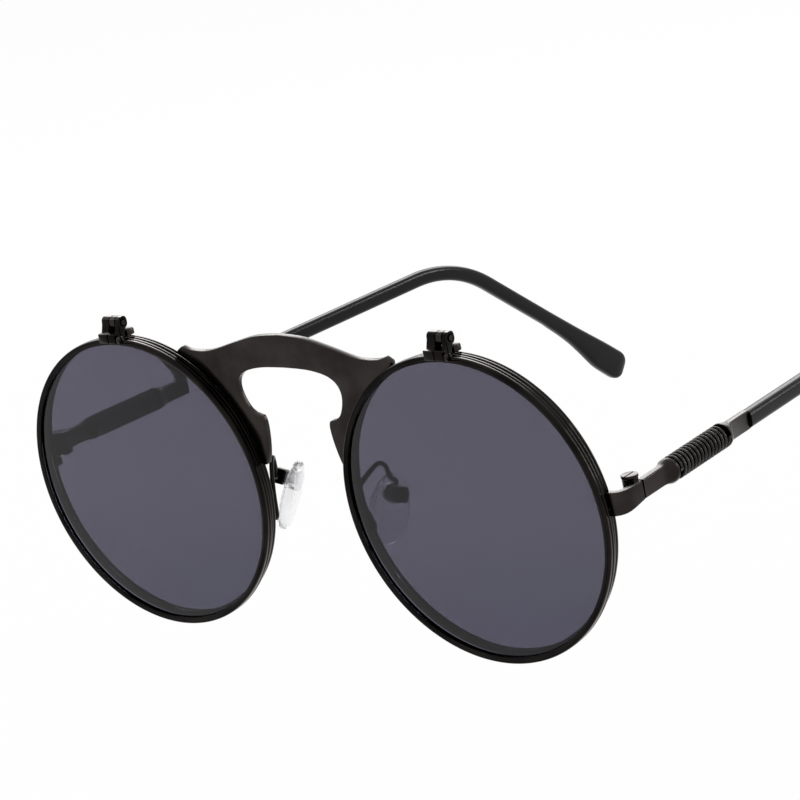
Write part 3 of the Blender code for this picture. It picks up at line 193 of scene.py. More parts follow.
# Places that follow from the sizes above
RIM_X = FRONT_RIM_RADIUS + RIM_GAP / 2
REAR_RIM_RADIUS = FRONT_RIM_RADIUS - RIM_STEP
SEAT_RADIUS = REAR_RIM_RADIUS + SEAT_GAP
FLIP_PIN_Z = FRONT_RIM_RADIUS + FLIP_PIN_RISE
FLIP_BLOCK_TOP = FRONT_RIM_RADIUS + FLIP_BLOCK_RISE
CLOSING_SCREW_Z = FRONT_RIM_RADIUS - CLOSING_SCREW_SINK
BRIDGE_REACH = RIM_X - BRIDGE_EAR_SHORT
BRIDGE_TOP = FRONT_RIM_RADIUS + BRIDGE_RISE
HINGE_X = RIM_X + REAR_RIM_RADIUS + HINGE_OUT
HINGE_LIFT = BAR_HEIGHT / 2
REAR_RIM_BACK = REAR_RIM_Y + REAR_RIM_DEPTH
BRIDGE_Y = REAR_RIM_Y + BRIDGE_INSET
FRONT_LENS_Y = FRONT_RIM_DEPTH / 2
REAR_LENS_Y = REAR_RIM_Y + REAR_RIM_DEPTH / 2
FLIP_EAR_START = FLIP_KNUCKLE_LENGTH / 2 + FIT_GAP
FLIP_EAR_ENDS = (
    (FLIP_PIN_X - FLIP_EAR_START - FLIP_EAR_LENGTHS[0], FLIP_PIN_X - FLIP_EAR_START),
    (FLIP_PIN_X + FLIP_EAR_START, FLIP_PIN_X + FLIP_EAR_START + FLIP_EAR_LENGTHS[1]),
)
LOCK_INNER_X = REAR_RIM_RADIUS - REAR_RIM_WIDTH / 2
LOCK_Y = REAR_RIM_Y + BAR_THICKNESS + SEAT_GAP
LOCK_SCREW_X = REAR_RIM_RADIUS + LOCK_SCREW_OUT
LOCK_SCREW_Y = LOCK_Y + LOCK_DEPTH / 2
PAD_BOX_X = PAD_THICKNESS / 2 + SEAT_GAP
PAD_BOX_MIDDLE = PAD_BOX_X + PAD_BOX_DEPTH / 2
SPRING_LENGTH = SPRING_CURLS * SPRING_PITCH + SPRING_WIRE + SPRING_WIRE
REAR_BAR_START = SPRING_START + SPRING_LENGTH + SEAT_GAP + SEAT_GAP
TIP_START = REAR_BAR_START + REAR_BAR_LENGTH + SEAT_GAP


# Materials: each has its own colour change, roughness and fine relief; the black metal, the
# gunmetal and the spring wire also have a painted sheen

NOISE_RANGE = (0.3, 0.7)
RELIEF_DEPTH = 0.00002
SPECULAR = 0.15
# Scale of the noise that varies the colour of the painted sheen
PAINTED_SHEEN_SCALE = 60.0


def fill(tree, made, inputs):
    """Fills a node's inputs: an output of another node is linked, a plain value is written."""
    for key, value in inputs.items():
        if isinstance(value, bpy.types.NodeSocket):
            tree.links.new(value, made.inputs[key])
        else:
            made.inputs[key].default_value = value
    return made


def added(tree, kind, inputs):
    return fill(tree, tree.nodes.new(kind), inputs)


def graph(name):
    """A new material with its node tree and its shader."""
    made = bpy.data.materials.new(name)
    made.use_nodes = True
    tree = made.node_tree
    return made, tree, tree.nodes["Principled BSDF"]


def noise(tree, scale, detail, stretch=(1, 1, 1)):
    """Noise over the piece's own coordinates."""
    coords = tree.nodes.new("ShaderNodeTexCoord").outputs["Object"]
    mapping = added(tree, "ShaderNodeMapping", {"Scale": stretch, "Vector": coords})
    inputs = {"Scale": scale, "Detail": detail, "Vector": mapping.outputs["Vector"]}
    return added(tree, "ShaderNodeTexNoise", inputs).outputs["Fac"]


def ramp(tree, factor, low, high, at=(0.35, 0.65)):
    """A colour ramp between two colours."""
    made = added(tree, "ShaderNodeValToRGB", {"Fac": factor})
    first, second = made.color_ramp.elements
    first.position, second.position = at
    first.color = (*low, 1.0)
    second.color = (*high, 1.0)
    return made.outputs["Color"]


def spread(tree, factor, low, high, given=NOISE_RANGE):
    """Maps a given range, by default that of the noise, to a range of values."""
    start, end = given
    inputs = {"Value": factor, "From Min": start, "From Max": end, "To Min": low, "To Max": high}
    return added(tree, "ShaderNodeMapRange", inputs).outputs["Result"]


def relief(tree, shader, height, strength):
    """Gives a shader a fine bump from a noise."""
    inputs = {"Strength": strength, "Distance": RELIEF_DEPTH, "Height": height}
    fill(tree, shader, {"Normal": added(tree, "ShaderNodeBump", inputs).outputs["Normal"]})


def painted_sheen(tree, colour, low, high, at):
    """Paints a sheen, a painted reflection: lightens a colour where the surface is seen at a flat
    angle.
    """
    facing = tree.nodes.new("ShaderNodeLayerWeight").outputs["Facing"]
    made = tree.nodes.new("ShaderNodeMix")
    made.data_type = "RGBA"
    fill(tree, made, {
        "Factor": ramp(tree, facing, (0, 0, 0), (1, 1, 1), at),
        "A": colour,
        "B": ramp(tree, noise(tree, PAINTED_SHEEN_SCALE, 2.0, (1, 1, 3)), low, high),
    })
    return made.outputs["Result"]


def surface_material(name, low, high, rough, scale, grain, strength,
                     stretch=(1, 1, 1), edge=None, metallic=1.0):
    """A metal or plastic with slow colour change, uneven polish and a fine grain; edge, when given,
    holds the colours and the angles of a painted sheen.
    """
    made, tree, shader = graph(name)
    colour = ramp(tree, noise(tree, scale, 3.0), low, high)
    # Painted sheen: a lighter colour where the surface is seen at a flat angle stands in for a
    # reflection
    if edge is not None:
        colour = painted_sheen(tree, colour, *edge)
    fine = noise(tree, grain, 4.0, stretch)
    fill(tree, shader, {
        "Metallic": metallic, "Specular IOR Level": SPECULAR, "Base Color": colour,
        "Roughness": spread(tree, fine, *rough),
    })
    relief(tree, shader, fine, strength)
    return made


def lens_material(name, low, high, bend):
    """A lens of clear or tinted plastic, a little darker towards its foot."""
    made, tree, shader = graph(name)
    coords = tree.nodes.new("ShaderNodeTexCoord").outputs["Object"]
    height = added(tree, "ShaderNodeSeparateXYZ", {"Vector": coords}).outputs["Z"]
    share = spread(tree, height, 0.0, 1.0, (0.0, FRONT_RIM_RADIUS))
    fill(tree, shader, {
        "Transmission Weight": 1.0, "IOR": bend, "Roughness": 0.0,
        "Base Color": ramp(tree, share, low, high, (0.0, 1.0)),
    })
    return made


def silicone_material(name):
    """Clear soft silicone: light passes through, and the skin is slightly matt."""
    made, tree, shader = graph(name)
    slow = noise(tree, 350.0, 2.0)
    fine = noise(tree, 5000.0, 3.0)
    fill(tree, shader, {
        "Transmission Weight": 0.92, "IOR": 1.41, "Subsurface Weight": 0.05,
        "Base Color": ramp(tree, slow, (0.96, 0.96, 0.97), (0.99, 0.99, 0.995)),
        "Roughness": spread(tree, fine, 0.1, 0.2),
    })
    relief(tree, shader, fine, 0.15)
    return made


# Mesh tools

ARC_STEPS = 30
CORNER_STEPS = 4
RIM_SEGMENTS = 180
KNUCKLE_SEGMENTS = 60
ROD_SEGMENTS = 48
SMALL_SEGMENTS = 36
TUBE_SIDES = 16
PATH_STEPS = 6
SHORT_PATH_STEPS = 5
SHARP_ANGLE = math.radians(32)
BEVEL_ANGLE = math.radians(35)
OUT = Vector((1, 0, 0))
BACK = Vector((0, 1, 0))
UP = Vector((0, 0, 1))


def linked(name, data):
    """A new object in the scene."""
    made = bpy.data.objects.new(name, data)
    bpy.context.scene.collection.objects.link(made)
    return made


def smoothed(mesh):
    mesh.shade_smooth()
    mesh.set_sharp_from_angle(angle=SHARP_ANGLE)


def mesh_object(bm):
    """An object made from a bmesh, with its faces turned outwards and shaded smooth."""
    bmesh.ops.recalc_face_normals(bm, faces=bm.faces)
    mesh = bpy.data.meshes.new("made")
    bm.to_mesh(mesh)
    bm.free()
    smoothed(mesh)
    return linked("made", mesh)


def shifted(made, offset):
    made.data.transform(Matrix.Translation(offset))
    return made


def turned(made, degrees, axis):
    made.data.transform(Matrix.Rotation(math.radians(degrees), 4, axis))
    return made


def neighbours(points, index):
    """The points before and after one, or the point itself at an end."""
    return points[max(index - 1, 0)], points[min(index + 1, len(points) - 1)]


def skinned(bm, pairs):
    """Faces between pairs of rings; at a ring that is a single point they are triangles."""
    for first, second in pairs:
        for index in range(len(first)):
            after = (index + 1) % len(first)
            corners = (first[index], first[after], second[after], second[index])
            face = list(dict.fromkeys(corners))
            if len(face) > 2:
                bm.faces.new(face)


def revolved(profile, segments):
    """A solid turned about Y: profile points are (radius, along); a radius of zero is a pole."""
    bm = bmesh.new()
    angles = [math.tau * index / segments for index in range(segments)]
    rings = []
    for radius, along in profile:
        if radius == 0:
            rings.append([bm.verts.new((0, along, 0))] * segments)
            continue
        rings.append([
            bm.verts.new((radius * math.cos(angle), along, radius * math.sin(angle)))
            for angle in angles
        ])
    pairs = list(zip(rings, rings[1:]))
    if profile[0][0] > 0:
        pairs.append((rings[-1], rings[0]))
    skinned(bm, pairs)
    return mesh_object(bm)


def box(low, high):
    """A block between two corners."""
    bm = bmesh.new()
    bmesh.ops.create_cube(bm, size=1.0)
    for vertex in bm.verts:
        vertex.co = [high[axis] if vertex.co[axis] > 0 else low[axis] for axis in range(3)]
    return mesh_object(bm)


def rod(start, end, radius, segments=ROD_SEGMENTS):
    """A plain cylinder from one point to another."""
    start = Vector(start)
    along = Vector(end) - start
    made = revolved([(0, 0), (radius, 0), (radius, along.length), (0, along.length)], segments)
    turn = BACK.rotation_difference(along)
    made.data.transform(Matrix.Translation(start) @ turn.to_matrix().to_4x4())
    return made


def level_rod(low, high, y, z, radius, segments=ROD_SEGMENTS):
    return rod((low, y, z), (high, y, z), radius, segments)


def upright(low, high, radius, segments=ROD_SEGMENTS):
    return rod((0, 0, low), (0, 0, high), radius, segments)


def lofted(sections):
    """A skin through rings of the same number of points, closed at both ends."""
    bm = bmesh.new()
    rings = [[bm.verts.new(point) for point in section] for section in sections]
    skinned(bm, zip(rings, rings[1:]))
    bm.faces.new(rings[0])
    bm.faces.new(rings[-1])
    return mesh_object(bm)


def tube(points, radius, sides=TUBE_SIDES):
    """A round bar along a path, with flat ends; its frame is carried along without twist."""
    points = [Vector(point) for point in points]
    sections = []
    side = None
    for index, point in enumerate(points):
        before, after = neighbours(points, index)
        along = (after - before).normalized()
        if side is None:
            side = along.orthogonal().normalized()
        side = (side - along * side.dot(along)).normalized()
        across = along.cross(side)
        section = []
        for step in range(sides):
            angle = math.tau * step / sides
            section.append(point + radius * (math.cos(angle) * side + math.sin(angle) * across))
        sections.append(section)
    return lofted(sections)


def prism(outline, low, high, axis):
    """A flat outline extruded along one axis; the outline's two values follow the other axes."""
    at = "XYZ".index(axis)
    return lofted([
        [(*point[:at], along, *point[at:]) for point in outline] for along in (low, high)
    ])


def evaluated(made):
    """A new mesh of an object with its modifiers or its bevel."""
    scene = bpy.context.evaluated_depsgraph_get()
    return bpy.data.meshes.new_from_object(made.evaluated_get(scene))


def finished(made):
    """Turns an object's modifiers into its mesh."""
    mesh = evaluated(made)
    old = made.data
    made.modifiers.clear()
    made.data = mesh
    bpy.data.meshes.remove(old)
    smoothed(mesh)


def rounded(made, width, segments=3):
    """Rounds an object's sharp edges."""
    bevel = made.modifiers.new("edge", "BEVEL")
    bevel.width = width
    bevel.segments = segments
    bevel.limit_method = "ANGLE"
    bevel.angle_limit = BEVEL_ANGLE
    finished(made)
    return made


def combined(made, others, operation):
    """Joins or cuts an object with others, which are used up."""
    for other in others:
        boolean = made.modifiers.new(operation, "BOOLEAN")
        boolean.operation = operation
        boolean.solver = "EXACT"
        boolean.object = other
    finished(made)
    for other in others:
        bpy.data.objects.remove(other)
    return made


def joined(made, *others):
    return combined(made, others, "UNION")


def cut(made, *others):
    return combined(made, others, "DIFFERENCE")


def smooth_path(points, steps):
    """A curve through points, as short Bezier runs with tangents from their neighbours."""
    points = [Vector(point) for point in points]
    path = [points[0]]
    for index, (start, end) in enumerate(zip(points, points[1:])):
        before = neighbours(points, index)[0]
        after = neighbours(points, index + 1)[1]
        first = start + (end - before) / 6
        second = end - (after - start) / 6
        path.extend(interpolate_bezier(start, first, second, end, steps + 1)[1:])
    return path


def arc(centre_x, radius, first, last):
    """Points of an arc in the plane of the outlines, from one angle to another."""
    angles = [first + (last - first) * step / ARC_STEPS for step in range(ARC_STEPS + 1)]
    return [(centre_x + radius * math.cos(angle), radius * math.sin(angle)) for angle in angles]


# Rims and lenses

def ring_section(radius, width, low, depth, shares):
    """Points of a ring's section from shares of its width (inwards) and depth (backwards)."""
    return [(radius - inwards * width, low + back * depth) for inwards, back in shares]


def ring(radius, width, low, depth, front_shares, back_shares, lens_y):
    """A rim's whole ring: its front, a groove that takes the lens edge, and its back."""
    inner = radius - width
    slope = (LENS_THICKNESS - LENS_EDGE) / 2 / (LENS_SEAT + LENS_SHOULDER)
    bottom = inner + LENS_SEAT + FIT_GAP
    deep = LENS_EDGE / 2 + FIT_GAP
    wide = deep + slope * LENS_SEAT
    section = [
        *ring_section(radius, width, low, depth, front_shares),
        (inner, lens_y - wide), (bottom, lens_y - deep),
        (bottom, lens_y + deep), (inner, lens_y + wide),
        *ring_section(radius, width, low, depth, back_shares),
    ]
    return revolved(section, RIM_SEGMENTS)


# The front rim has a face with both edges rounded and a fine line near its outer edge
FRONT_FACE_SHARES = (
    (0, 0.26), (0.02, 0.14), (0.08, 0.04), (0.18, 0), (0.3, 0), (0.34, 0.05), (0.4, 0.05),
    (0.44, 0), (0.84, 0), (0.95, 0.03), (1, 0.1),
)
FRONT_BACK_SHARES = (
    (1, 0.94), (0.94, 1), (0.1, 1), (0.03, 0.97), (0, 0.88), (0, 0.74), (0.03, 0.65),
    (0.11, 0.61), (0.11, 0.55), (0.03, 0.51), (0, 0.42),
)
# The rear rim is rounded towards the face, and has the same fine groove round its outside
REAR_FACE_SHARES = ((0, 0.16), (0.03, 0.08), (0.08, 0.02), (0.14, 0), (0.9, 0), (1, 0.08))
REAR_BACK_SHARES = (
    (1, 0.94), (0.94, 1), (0.42, 1), (0.24, 0.98), (0.11, 0.93), (0.03, 0.86), (0, 0.78),
    (0, 0.62), (0.03, 0.54), (0.1, 0.5), (0.1, 0.44), (0.03, 0.4), (0, 0.32),
)
SEAT_SHARES = ((0, 0), (1, 0), (1, 1), (0, 1))


def build_lens(radius, edge_y, sag):
    """A lens: two like curves, and an edge bevelled on both sides to sit in its rim's groove."""
    shoulder = radius - LENS_SEAT - LENS_SHOULDER
    rings = 10
    faces = []
    for side in (-1, 1):
        shares = [step / rings for step in range(rings + 1)]
        level = edge_y + side * LENS_THICKNESS / 2
        faces.append([(shoulder * share, level - sag * (1 - share ** 2)) for share in shares])
    edge = [(radius, edge_y - LENS_EDGE / 2), (radius, edge_y + LENS_EDGE / 2)]
    return revolved(faces[0] + edge + faces[1][::-1], RIM_SEGMENTS)


def build_dark_lens():
    """The tinted lens, which lies as low on its hinge as the ring of its rim."""
    radius = FRONT_RIM_RADIUS - FRONT_RIM_WIDTH + LENS_SEAT
    return shifted(build_lens(radius, FRONT_LENS_Y, DARK_LENS_SAG), (0, 0, -FRONT_RIM_DROP))


def build_clear_lens():
    radius = REAR_RIM_RADIUS - REAR_RIM_WIDTH + LENS_SEAT
    return build_lens(radius, REAR_LENS_Y, CLEAR_LENS_SAG)


def flip_rod(beyond, radius):
    """A rod on the flip pin's axis, through both ears and some way beyond them."""
    start = FLIP_EAR_ENDS[0][0] - beyond
    return level_rod(start, FLIP_EAR_ENDS[1][1] + beyond, FLIP_PIN_Y, FLIP_PIN_Z, radius)


def eye_outline(first, last):
    """Part of a hinge eye's outline about the pin, a little squarer than a circle."""
    power = 0.75
    return [
        tuple(FLIP_KNUCKLE_RADIUS * math.copysign(abs(share) ** power, share) for share in point)
        for point in arc(0, 1, math.radians(first), math.radians(last))
    ]


def flip_prism(outline, low, high):
    """An outline about the flip pin, extruded along the pin."""
    return shifted(prism(outline, low, high, "X"), (0, FLIP_PIN_Y, FLIP_PIN_Z))


def build_front_rim():
    """The flip-up rim: a split ring, its closing block and the two ears of the hinge."""
    rim = ring(
        FRONT_RIM_RADIUS, FRONT_RIM_WIDTH, 0, FRONT_RIM_DEPTH,
        FRONT_FACE_SHARES, FRONT_BACK_SHARES, FRONT_LENS_Y,
    )
    shifted(rim, (0, 0, -FRONT_RIM_DROP))
    inner = FRONT_RIM_RADIUS - FRONT_RIM_WIDTH - FRONT_RIM_DROP
    back = FRONT_RIM_DEPTH - FLIP_BLOCK_EDGE
    block = box(
        (-FLIP_BLOCK_LEFT, -FLIP_BLOCK_PROUD, inner + LENS_SEAT + FIT_GAP + FIT_GAP),
        (FLIP_BLOCK_RIGHT, back - FLIP_BLOCK_EDGE / 2, FLIP_BLOCK_TOP),
    )
    rounded(block, FLIP_BLOCK_EDGE)
    foot = FLIP_BLOCK_TOP - FLIP_BLOCK_EDGE - FLIP_BLOCK_EDGE - FLIP_PIN_Z
    # An ear is an eye on a leg that spreads to the front
    leg = [(-FLIP_KNUCKLE_RADIUS - FLIP_EAR_SPREAD, foot), (back - FLIP_PIN_Y, foot)]
    ears = [flip_prism(leg + eye_outline(-75, 180), *ends) for ends in FLIP_EAR_ENDS]
    joined(rim, block, *ears)
    split = box(
        (FLIP_SPLIT_X - RIM_SPLIT / 2, -OVERRUN, inner - OVERRUN),
        (FLIP_SPLIT_X + RIM_SPLIT / 2, FRONT_RIM_DEPTH + OVERRUN, FLIP_BLOCK_TOP + OVERRUN),
    )
    room = CLOSING_HEAD_RADIUS + FIT_GAP
    notch = box(
        (FLIP_BLOCK_RIGHT - FLIP_BLOCK_EDGE / 2, -OVERRUN, CLOSING_SCREW_Z - room),
        (FLIP_BLOCK_RIGHT + OVERRUN, CLOSING_SCREW_Y + room, FRONT_RIM_RADIUS + OVERRUN),
    )
    pin_hole = flip_rod(OVERRUN, FLIP_PIN_RADIUS + FIT_GAP)
    screw_hole = level_rod(
        -FLIP_BLOCK_LEFT - OVERRUN, FLIP_BLOCK_RIGHT + OVERRUN, CLOSING_SCREW_Y, CLOSING_SCREW_Z,
        CLOSING_SCREW_RADIUS + FIT_GAP, SMALL_SEGMENTS,
    )
    return cut(rim, split, notch, pin_hole, screw_hole)


def build_screw(head_radius, head_height, radius, length, turn, seat, segments=ROD_SEGMENTS):
    """A slotted screw: made along +Y with its head's seat at zero, then turned and seated."""
    crown_share = 0.33
    crown = head_height * crown_share
    profile = [(0, -head_height)]
    for step in range(CORNER_STEPS + 1):
        angle = math.radians(90) * step / CORNER_STEPS
        round_radius = head_radius - crown * (1 - math.sin(angle))
        profile.append((round_radius, crown * (1 - math.cos(angle)) - head_height))
    profile += [(head_radius, 0), (radius, 0), (radius, length), (0, length)]
    slot = box(
        (-SLOT_WIDTH / 2, -head_height - OVERRUN, -head_radius - OVERRUN),
        (SLOT_WIDTH / 2, SLOT_DEPTH - head_height, head_radius + OVERRUN),
    )
    return shifted(turned(cut(revolved(profile, segments), slot), *turn), seat)


def build_closing_screw():
    """The front rim's closing screw, driven from +X."""
    return build_screw(
        CLOSING_HEAD_RADIUS, CLOSING_HEAD_HEIGHT, CLOSING_SCREW_RADIUS,
        FLIP_BLOCK_LEFT + FLIP_BLOCK_RIGHT, (90, "Z"),
        (FLIP_BLOCK_RIGHT + FIT_GAP, CLOSING_SCREW_Y, CLOSING_SCREW_Z),
    )


def build_rear_rim():
    """The fixed rim (right side): a split ring with two lock blocks at the temple side."""
    rim = ring(
        REAR_RIM_RADIUS, REAR_RIM_WIDTH, REAR_RIM_Y, REAR_RIM_DEPTH,
        REAR_FACE_SHARES, REAR_BACK_SHARES, REAR_LENS_Y,
    )
    foot_x = REAR_RIM_RADIUS - LOCK_FOOT_SHORT
    foot_y = REAR_RIM_BACK - LOCK_FOOT
    far_x = REAR_RIM_RADIUS + LOCK_WIDTH
    far_y = LOCK_Y + LOCK_DEPTH
    outline = (
        (LOCK_INNER_X, foot_y), (foot_x, foot_y), (foot_x, LOCK_Y), (far_x, LOCK_Y),
        (far_x, far_y), (LOCK_INNER_X, far_y),
    )
    joined(rim, prism(outline, LOCK_Z - LOCK_HEIGHT, LOCK_Z + LOCK_HEIGHT, "Z"))
    split = box(
        (LOCK_INNER_X - REAR_RIM_WIDTH - OVERRUN, 0, LOCK_Z - RIM_SPLIT / 2),
        (REAR_RIM_RADIUS + OVERRUN, REAR_RIM_BACK + OVERRUN, LOCK_Z + RIM_SPLIT / 2),
    )
    end = LOCK_HEIGHT + OVERRUN
    hole = upright(-end, end, LOCK_SCREW_RADIUS + FIT_GAP, SMALL_SEGMENTS)
    return cut(rim, split, shifted(hole, (LOCK_SCREW_X, LOCK_SCREW_Y, LOCK_Z)))


def build_lock_screw():
    return build_screw(
        LOCK_HEAD_RADIUS, CLOSING_HEAD_HEIGHT, LOCK_SCREW_RADIUS, LOCK_HEIGHT + LOCK_HEIGHT,
        (-90, "X"), (LOCK_SCREW_X, LOCK_SCREW_Y, LOCK_Z + LOCK_HEIGHT + FIT_GAP), SMALL_SEGMENTS,
    )


# Flip-up hinge

# A side outline of the middle knuckle: behind the front rim's block its leg runs down;
# shares of the way back to the base's rear and of the height over the base's top
KNUCKLE_SHARES = ((0.3, -0.45), (0.52, -0.45), (0.44, 0), (0.41, 0.55))


def build_flip_bracket():
    """The bracket over the rear rim: a rounded base and the hinge's middle knuckle."""
    base_front = FRONT_RIM_DEPTH + SEAT_GAP
    base_back = base_front + FLIP_BASE_DEPTH
    top = SEAT_RADIUS + FLIP_BASE_HEIGHT
    base = box(
        (FLIP_EAR_ENDS[0][0], base_front, REAR_RIM_RADIUS - REAR_RIM_WIDTH),
        (FLIP_EAR_ENDS[1][1], base_back, top),
    )
    rounded(base, FLIP_BASE_EDGE, 2)
    behind = base_back - FLIP_PIN_Y
    above = FLIP_PIN_Z - top
    outline = [(back * behind, tall * above - above) for back, tall in KNUCKLE_SHARES]
    outline += eye_outline(0, 270) + [(FLIP_LEG_FRONT, -FLIP_KNUCKLE_RADIUS)]
    half = FLIP_KNUCKLE_LENGTH / 2
    joined(base, flip_prism(outline, FLIP_PIN_X - half, FLIP_PIN_X + half))
    depth = REAR_RIM_BACK + OVERRUN
    width = REAR_RIM_WIDTH + OVERRUN
    section = ring_section(SEAT_RADIUS, width, 0, depth, SEAT_SHARES)
    hole = flip_rod(OVERRUN, FLIP_PIN_RADIUS + FIT_GAP)
    return cut(base, hole, revolved(section, RIM_SEGMENTS))


def build_flip_pin():
    return flip_rod(FLIP_PIN_PROUD, FLIP_PIN_RADIUS)


# Bridge plate

# Top edge from the middle to the ear, as shares of the reach and of the crown's height
BRIDGE_TOP_SHARES = (
    (0, 1), (0.22, 0.984), (0.43, 0.938), (0.64, 0.886),
    (0.76, 0.871), (0.88, 0.875), (0.955, 0.893),
)
# The ear's blunt tip from its seat on the rim, as shares of the tip's height
BRIDGE_TIP_SHARES = ((-0.35, 1.25), (0.1, 0.95))
# The leg up from its foot, as shares of the nose arch's half width and top
LEG_SHARES = ((0.775, 0.185), (0.71, 0.27), (0.655, 0.41), (0.638, 0.53), (0.665, 0.585))
# The nose arch from its barb to its top, as the same shares
ARCH_SHARES = (
    (0.8, 0.604), (0.89, 0.64), (0.97, 0.722), (1, 0.815), (0.94, 0.896), (0.77, 0.955),
    (0.44, 0.991), (0, 1),
)


def scaled_path(shares, wide, tall, steps):
    """A smooth path through shares of a width and a height."""
    return smooth_path([(x * wide, z * tall, 0) for x, z in shares], steps)


def build_bridge():
    """One outline: its right half runs from the crown round the rim to the arch's top."""
    first = math.pi - math.acos((RIM_X - BRIDGE_REACH) / SEAT_RADIUS)
    last = math.pi - math.asin(BRIDGE_LEG_END / SEAT_RADIUS)
    rim = [Vector((*point, 0)) for point in arc(RIM_X, SEAT_RADIUS, first, last)]
    tip = [rim[0] + BRIDGE_EAR_TIP * Vector((*share, 0)) for share in BRIDGE_TIP_SHARES]
    edge = scaled_path(BRIDGE_TOP_SHARES, BRIDGE_REACH, BRIDGE_TOP, PATH_STEPS)
    leg = scaled_path(LEG_SHARES, ARCH_HALF_WIDTH, ARCH_TOP, SHORT_PATH_STEPS)
    arch = scaled_path(ARCH_SHARES, ARCH_HALF_WIDTH, ARCH_TOP, SHORT_PATH_STEPS)
    half = [(point.x, point.y) for point in edge + tip + rim + leg + arch]
    other = [(-x, z) for x, z in half[1:-1]][::-1]
    return rounded(prism(half + other, BRIDGE_Y, BRIDGE_Y + BRIDGE_THICKNESS, "Y"), BRIDGE_EDGE)


# End piece and temple hinge

def bar_section(centre, across, up, thickness, height, edge):
    """A bar's section: a rectangle with rounded corners."""
    half = thickness / 2 - edge
    tall = height / 2 - edge
    points = []
    for quarter, (x, z) in enumerate(((half, -tall), (half, tall), (-half, tall), (-half, -tall))):
        for step in range(CORNER_STEPS + 1):
            angle = math.radians(90) * (quarter - 1 + step / CORNER_STEPS)
            outwards = x + edge * math.cos(angle)
            upwards = z + edge * math.sin(angle)
            points.append(centre + outwards * across + upwards * up)
    return points


def hinge_outline(side):
    """A hinge knuckle from above, about the pin: a round eye with a web out to the bar."""
    radius = HINGE_KNUCKLE_RADIUS
    edge = SEAT_GAP / 2
    start = math.asin(edge / radius)
    outline = [(BAR_OFFSET, side * radius), (BAR_OFFSET, side * edge)]
    outline += [(x, -side * y) for x, y in arc(0, radius, -start, math.radians(270))]
    return outline


def hinge_levels():
    """Heights of the end piece's lower and upper knuckles about the hinge's centre."""
    inner = HINGE_KNUCKLE_HEIGHT / 2 + FIT_GAP
    return (-HINGE_LIFT, -inner), (inner, HINGE_LIFT + FIT_GAP)


# The end piece runs out from the rim, round a corner and back to the hinge:
# shares of its way out, its way back and its growth in height, which also lowers it
LUG_SHARES = (
    (0, 0, 1), (0.4, 0, 0.85), (0.72, 0.07, 0.72), (0.9, 0.2, 0.6), (0.98, 0.4, 0.45),
    (1, 0.7, 0.24), (1, 1, 0.06),
)


def build_end_piece():
    """The end piece (right side): the bent bar and the outer hinge knuckles."""
    start_x = RIM_X + REAR_RIM_RADIUS - REAR_RIM_WIDTH / 2
    start_y = REAR_RIM_Y + BAR_THICKNESS / 2
    wide = HINGE_X + BAR_OFFSET - start_x
    deep = HINGE_Y - SEAT_GAP / 2 - start_y
    shares = smooth_path(LUG_SHARES, PATH_STEPS)
    centres = [
        Vector((start_x + out * wide, start_y + back * deep, HINGE_Z - tall * LUG_DROP))
        for out, back, tall in shares
    ]
    sections = []
    for index, centre in enumerate(centres):
        before, after = neighbours(centres, index)
        along = after - before
        along.z = 0
        if index == 0:
            along = OUT
        if index == len(centres) - 1:
            along = BACK
        across = along.normalized().cross(UP)
        height = BAR_HEIGHT + shares[index].z * (LUG_HEIGHT - BAR_HEIGHT)
        sections.append(bar_section(centre, across, UP, BAR_THICKNESS, height, BAR_EDGE))
    lug = lofted(sections)
    tilt = Matrix.Rotation(-TEMPLE_SLOPE, 4, "X")
    hinge = Matrix.Translation((HINGE_X, HINGE_Y, HINGE_Z)) @ tilt
    relief_share = 0.75
    inner = HINGE_KNUCKLE_HEIGHT / 2 + FIT_GAP * relief_share
    room = upright(-inner, inner, HINGE_KNUCKLE_RADIUS + FIT_GAP, KNUCKLE_SEGMENTS)
    end = BAR_HEIGHT + OVERRUN
    hole = upright(-end, end, HINGE_SCREW_RADIUS + FIT_GAP)
    knuckles = [prism(hinge_outline(-1), low, high, "Z") for low, high in hinge_levels()]
    for made in (*knuckles, room, hole):
        made.data.transform(hinge)
    seat_end = (RIM_X, HINGE_Y - HINGE_KNUCKLE_RADIUS, 0)
    seat = rod((RIM_X, 0, 0), seat_end, SEAT_RADIUS, RIM_SEGMENTS)
    return cut(joined(lug, *knuckles), seat, room, hole)


def build_hinge_screw():
    """The temple screw: its head on the upper knuckle, its end below the lower one."""
    top = hinge_levels()[1][1] + FIT_GAP
    return build_screw(
        HINGE_HEAD_RADIUS, HINGE_HEAD_HEIGHT, HINGE_SCREW_RADIUS,
        top + HINGE_LIFT + HINGE_HEAD_HEIGHT, (-90, "X"), (0, 0, top),
    )


# Temple: y runs along it from the hinge axis, x is outwards

def tip_path():
    """The temple's centre line from the start of its plastic tip, with the ear bend."""
    straight_steps = 6
    bend_steps = 26
    straight = BEND_START - TIP_START
    path = [(TIP_START + straight * step / straight_steps) * BACK for step in range(straight_steps)]
    for step in range(bend_steps + 1):
        angle = BEND_ANGLE * step / bend_steps
        y = BEND_START + BEND_RADIUS * math.sin(angle)
        path.append(Vector((0, y, -BEND_RADIUS * (1 - math.cos(angle)))))
    corner = path[-1]
    down = Vector((0, math.cos(BEND_ANGLE), -math.sin(BEND_ANGLE)))
    for step in range(1, bend_steps + 1):
        path.append(corner + down * TIP_STRAIGHT * step / bend_steps)
    return path


def path_lengths(path):
    lengths = [0.0]
    for before, after in zip(path, path[1:]):
        lengths.append(lengths[-1] + (after - before).length)
    return lengths


